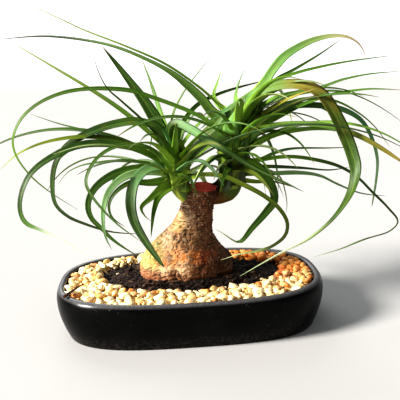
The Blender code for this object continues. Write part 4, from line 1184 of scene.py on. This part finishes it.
def settleCrown(shoot, others):   # the rest of the crown, by chance
    count, first, last, top, seed = shoot["crown"]
    sway, turnOn = leaf["crownHeading"]
    steep, less, chance = leaf["crownRise"]
    stiffer, shorter = leaf["crownToViewer"]
    rng = random.Random(seed)
    hues = random.Random(seed + 1)
    leaves = []
    for i in range(count):
        share = i / (count - 1)
        for attempt in range(leaf["crownTries"]):
            heading = goldenAngle * i + rng.uniform(-sway, sway) + turnOn * attempt
            rise = radians(steep - less * share + rng.uniform(-chance, chance))
            length = rng.uniform(*leaf["crownLengths"]) * (1 - leaf["crownShrink"] * attempt)
            toViewer = max(0.0, -sin(heading))
            droop = radians(rng.uniform(*leaf["crownDroop"])) * (1 - stiffer * toViewer)
            length *= 1 - shorter * toViewer
            width = rng.uniform(*leaf["crownWidths"])
            roll = rng.uniform(*leaf["crownRolls"])
            points = crownRoute(shoot["stem"], first + (last - first) * share, heading, rise, length, droop)
            path = leafPath(points, width)
            if not outOfPlace(path, top) and not nearPath(path[1:], others):
                leaves.append((points, width, roll, path, hues.choice(shoot["crownLooks"])))
                break
    return leaves


def lookColour(look, along):
    stops = leafLooks[look]
    if stops[0][0] > 0:
        stops = [leaf["paleRoot"], *stops]
    for (low, *a), (high, *b) in zip(stops, stops[1:]):
        if along <= high:
            return Vector(screen(*a)).lerp(Vector(screen(*b)), (along - low) / (high - low))
    return Vector(screen(*b))


def growBlade(heap, points, width, roll, look, seed, gain=1.0):
    coarse = smoothCurve(points, leaf["segment"])
    even = smoothCurve(points, leaf["spacing"])
    along = (coarse[1] - coarse[0]).normalized()
    side = along.cross(upward)
    if side.length < 0.05:   # the blade starts upright
        side = Vector((1, 0, 0))
    hand = -1 if side.y > 0 else 1
    side = Quaternion(along, radians(hand * roll)) @ side.normalized()
    across = leaf["across"]
    under = across[-2:0:-1]
    bright = gain * random.Random(seed).uniform(*leaf["brightness"])
    twist, *where = leaf["twists"].get(look, (0.0, 0.0, 1.0))
    taper = leaf["blunt"].get(look, leaf["taper"])
    for k, point in enumerate(even):
        share = k / (len(even) - 1)
        ahead = headingAt(even, k)
        side = (side - ahead * side.dot(ahead)).normalized()
        run = share * (len(even) - 1) * leaf["spacing"]
        waver = leaf["wave"] * noise.noise(Vector((run * 0.022, seed * 7.3, 0.0)))
        turned = radians(waver + hand * twist * smoothStep(share, *where))
        lean = Quaternion(ahead, turned) @ side
        up = lean.cross(ahead)
        base = max(0.0, 1 - run / leaf["flareLength"])
        half = leafHalfWidth(width, min(share, 0.998), taper) * (1 + leaf["flare"] * base ** 1.2)
        half *= 1 + 0.05 * noise.noise(Vector((run * 0.05, seed * 3.1, 4.0)))
        fold = leaf["fold"] + 0.55 * base ** 1.5
        ring = [point + lean * (half * u) + up * (half * fold * abs(u) ** 1.3) for u in across]
        for u in under:
            thick = leaf["edge"] + leaf["keel"] * (1 - abs(u)) ** 0.8 * min(1.0, half / 2.0)
            ring.append(point + lean * (half * u) + up * (half * fold * abs(u) ** 1.3 - thick))
        tint = (lookColour(look, share) * bright).lerp(leaf["bloom"], leaf["waxy"])
        heap.ring(ring, hue=tuple(tint), run=run * 0.1, side=[*across, *under], seed=seed * 0.37, wood=0.0)
    heap.close(len(even), len(ring), flip=True)


def growStem(heap, shoot, seed):
    sections = smoothProfile(shoot["stem"], leaf["stemSteps"])
    spine = [Vector(row[:3]) for row in sections]
    foot, top = (Vector(screen(*colour)) for colour in shoot["stemLooks"])
    for k, (x, y, z, r) in enumerate(sections):
        ahead = headingAt(spine, k)
        side = ahead.cross(Vector((0, 1, 0))).normalized()
        front = ahead.cross(side)
        wood = 1 - smoothStep(z, shoot["woodTo"] - 6, shoot["woodTo"] + 6)
        ring, hues, sides = [], [], []
        for angle in around(leaf["stemAround"]):
            scar = wood * 0.45 * sin(z * 1.7 + 1.5 * noise.noise(Vector((x, angle, z * 0.1))))
            sheath = (1 - wood) * 0.5 * sin(3 * angle + z * 0.35)
            rough = 0.35 * noise.fractal(swing(angle, 3, z * 0.3), 0.9, 2, 3)
            out = side * cos(angle) + front * sin(angle)
            ring.append(spine[k] + out * (r + scar + sheath + rough - 0.3))
            # up the stem the foot's colour turns to the top's; on the left side the pale foot stays as
            # painted light, and the right side turns to the dark top colour as painted shade
            green = max(0.85 * smoothStep(z, 116, 134), 0.9 * smoothStep(-cos(angle), -0.85, -0.2))
            hues.append(tuple(foot.lerp(top, green + 0.1 * sin(3 * angle) ** 2)))
            sides.append(sin(6 * angle))
        heap.ring(ring, hue=hues, run=z * 0.1, side=sides, seed=seed, wood=wood)
    heap.close(len(sections), leaf["stemAround"])


def growSheaths(heap, shoot, seed):   # dead leaf bases that clasp the stem, one over another
    rng = random.Random(seed)
    sections = smoothProfile(shoot["stem"], leaf["stemSteps"])
    low = shoot["sheathsFrom"]
    lastFoot, tips = (sections[-1][2] - below for below in leaf["sheathsBelowTop"])
    count = round((lastFoot - low) / leaf["sheathStep"])
    outer, inner = leaf["across"], leaf["across"][::-1]
    for n in range(count):
        foot = low + (lastFoot - low) * n / count
        tall = min(rng.uniform(*leaf["sheathTall"]), tips - foot)
        heading = goldenAngle * n + rng.uniform(-0.4, 0.4)
        look = rng.choice(leaf["sheathLooks"])
        bright = rng.uniform(0.7, 1.1)
        for k in range(leaf["sheathRings"]):
            share = k / (leaf["sheathRings"] - 1)
            z = foot + tall * share
            x, y, _, r = min(sections, key=lambda row: abs(row[2] - z))
            spread = leaf["sheathSpread"] * (1 - share) ** 0.6 + 0.02
            out = r + 0.5 + leaf["sheathFlare"] * share ** 2
            ring = []
            for u, thick in [(u, leaf["sheathThickness"]) for u in outer] + [(u, 0.0) for u in inner]:
                angle = heading + spread * u
                edge = out + thick - 0.5 * abs(u) * (1 - share)
                ring.append(Vector((x + edge * cos(angle), y + edge * sin(angle), z)))
            heap.ring(ring, hue=tuple(lookColour(look, 0.05 + 0.6 * share) * bright), run=z * 0.1,
                      side=[*outer, *inner], seed=n * 1.9 + seed, wood=0.0)
        heap.close(leaf["sheathRings"], len(ring))


def leafMaterial():
    paint = Paint("leafGreen")
    fit = paint.fit
    run, side, seed, wood = (paint.attribute(name) for name in ("run", "side", "seed", "wood"))
    stripes = paint.noise(9.0, 3.0, 0.6, paint.join(side * 1.6, run * 0.12, seed))
    blotches = paint.noise(1.6, 4.0, 0.6, paint.join(side * 0.35, run * 0.5, seed))
    grain = paint.noise(260.0, 5.0, 0.65, paint.stretch(1.0, 1.0, 2.4))
    colour = paint.coats(
        leaf, paint.attribute("hue", 0),
        (fit(stripes, 0.52, 0.72) * 0.32, "vein"),
        (fit(stripes, 0.46, 0.28) * 0.42, "shade"),
        (fit(blotches, 0.56, 0.76) * 0.30, "dry"),
        (fit(abs(side), 0.16, 0.02) * 0.30, "vein"),
        (fit(abs(side), 0.90, 1.0) * 0.18, "dry"),
        (wood, paint.mix(fit(grain, 0.38, 0.64), leaf["woodBrown"], leaf["woodTan"])))
    rough = fit(stripes, 0.3, 0.7, *leaf["roughness"]) + wood * 0.3
    rise = stripes * (1 - wood) + grain * wood * 3.0
    return paint.finish(colour, rough, Coat_Weight=0.04, Coat_Roughness=0.36, Specular_IOR_Level=0.26,
                        Normal=paint.bump(rise, 0.30, 0.0005))


def growShoot(shoot, leaves, material):
    heap = Heap("hue", "run", "side", "seed", "wood")
    growStem(heap, shoot, 50.0)
    growSheaths(heap, shoot, 17)
    for k, (points, width, roll, path, look) in enumerate(leaves):
        growBlade(heap, points, width, roll, look, k + 1, shoot["gain"])
    for k, (width, roll, depth, look, drawn) in enumerate(shoot["clasping"]):
        growBlade(heap, [fromDrawing(u, v, depth) for u, v in drawn], width, roll, look, k + 201)
    heap.newPiece(shoot["node"] + "Leaves", material, "leaf_green", shoot["node"])
    print(shoot["node"], len(leaves), "leaves")


def growShoots():
    leftStem = stemPath(leftShoot["stem"])
    rightStem = stemPath(rightShoot["stem"])
    left = settleTraced(leftShoot, [rightStem])
    right = settleTraced(rightShoot, [leftStem] + [row[3] for row in left])
    left += settleCrown(leftShoot, [rightStem] + [row[3] for row in right])
    right += settleCrown(rightShoot, [leftStem] + [row[3] for row in left])
    material = leafMaterial()
    growShoot(leftShoot, left, material)
    growShoot(rightShoot, right, material)


growShoots()


# Studio: a pale floor, a window-like key from the left, a weak fill and a rim
studio = {
    "floor": screen(190, 189, 188),
    "floorCloud": screen(180, 178, 175),
    "floorReach": 6,           # metres
    "world": (0.90, 0.94, 1.0),
    "worldStrength": 0.26,
    "backdrop": 0.94,          # brightness of the empty air that the camera sees
    # name: (where it shines from, degrees of softness, strength, colour)
    "lights": {
        "windowKey": ((-1.20, -0.36, 0.82), 16.0, 6.1, (1.0, 0.97, 0.92)),
        "frontFill": ((0.3, -1.3, 0.75), 60.0, 0.26, (1.0, 0.96, 0.90)),
        "backRim": ((-0.3, 1.0, 0.9), 40.0, 0.9, (0.97, 0.99, 1.0)),
    },
    "aim": Vector((0.0, 0.0, 0.11)),
}


def makeFloor():
    paint = Paint("paleFloor")
    clouds = paint.fit(paint.noise(3.0, 3.0, 0.5), 0.35, 0.65) * 0.10
    reach = studio["floorReach"]
    mesh = bpy.data.meshes.new("floor")
    mesh.from_pydata([(-reach, -reach, 0), (reach, -reach, 0), (reach, reach, 0), (-reach, reach, 0)], [],
                     [(0, 1, 2, 3)])
    mesh.materials.append(paint.finish(paint.coats(studio, "floor", (clouds, "floorCloud")), 0.9,
                                       Specular_IOR_Level=0.0))
    floor = newObject("floor", mesh)


def makeLight():
    scene.world = bpy.data.worlds.new("studioAir")
    scene.world.use_nodes = True
    tree = scene.world.node_tree
    air = tree.nodes["Background"]
    seen = tree.nodes.new("ShaderNodeBackground")
    rays = tree.nodes.new("ShaderNodeLightPath")
    either = tree.nodes.new("ShaderNodeMixShader")
    for shader, colour, strength in ((air, studio["world"], studio["worldStrength"]),
                                     (seen, (1.0, 1.0, 1.0), studio["backdrop"])):
        shader.inputs["Color"].default_value = (*colour, 1.0)
        shader.inputs["Strength"].default_value = strength
    for k, plug in enumerate((rays.outputs["Is Camera Ray"], air.outputs[0], seen.outputs[0])):
        tree.links.new(plug, either.inputs[k])
    tree.links.new(either.outputs[0], tree.nodes["World Output"].inputs[0])
    for name, (place, softness, strength, colour) in studio["lights"].items():
        sun = bpy.data.lights.new(name, "SUN")
        sun.angle = radians(softness)
        sun.energy = strength
        sun.color = colour
        light = newObject(name, sun)
        light.location = place
        light.rotation_euler = (studio["aim"] - Vector(place)).to_track_quat("-Z", "Y").to_euler()


makeFloor()
makeLight()
print("studio lit")

scene.view_settings.view_transform = "Standard"
scene.view_settings.look = "High Contrast"
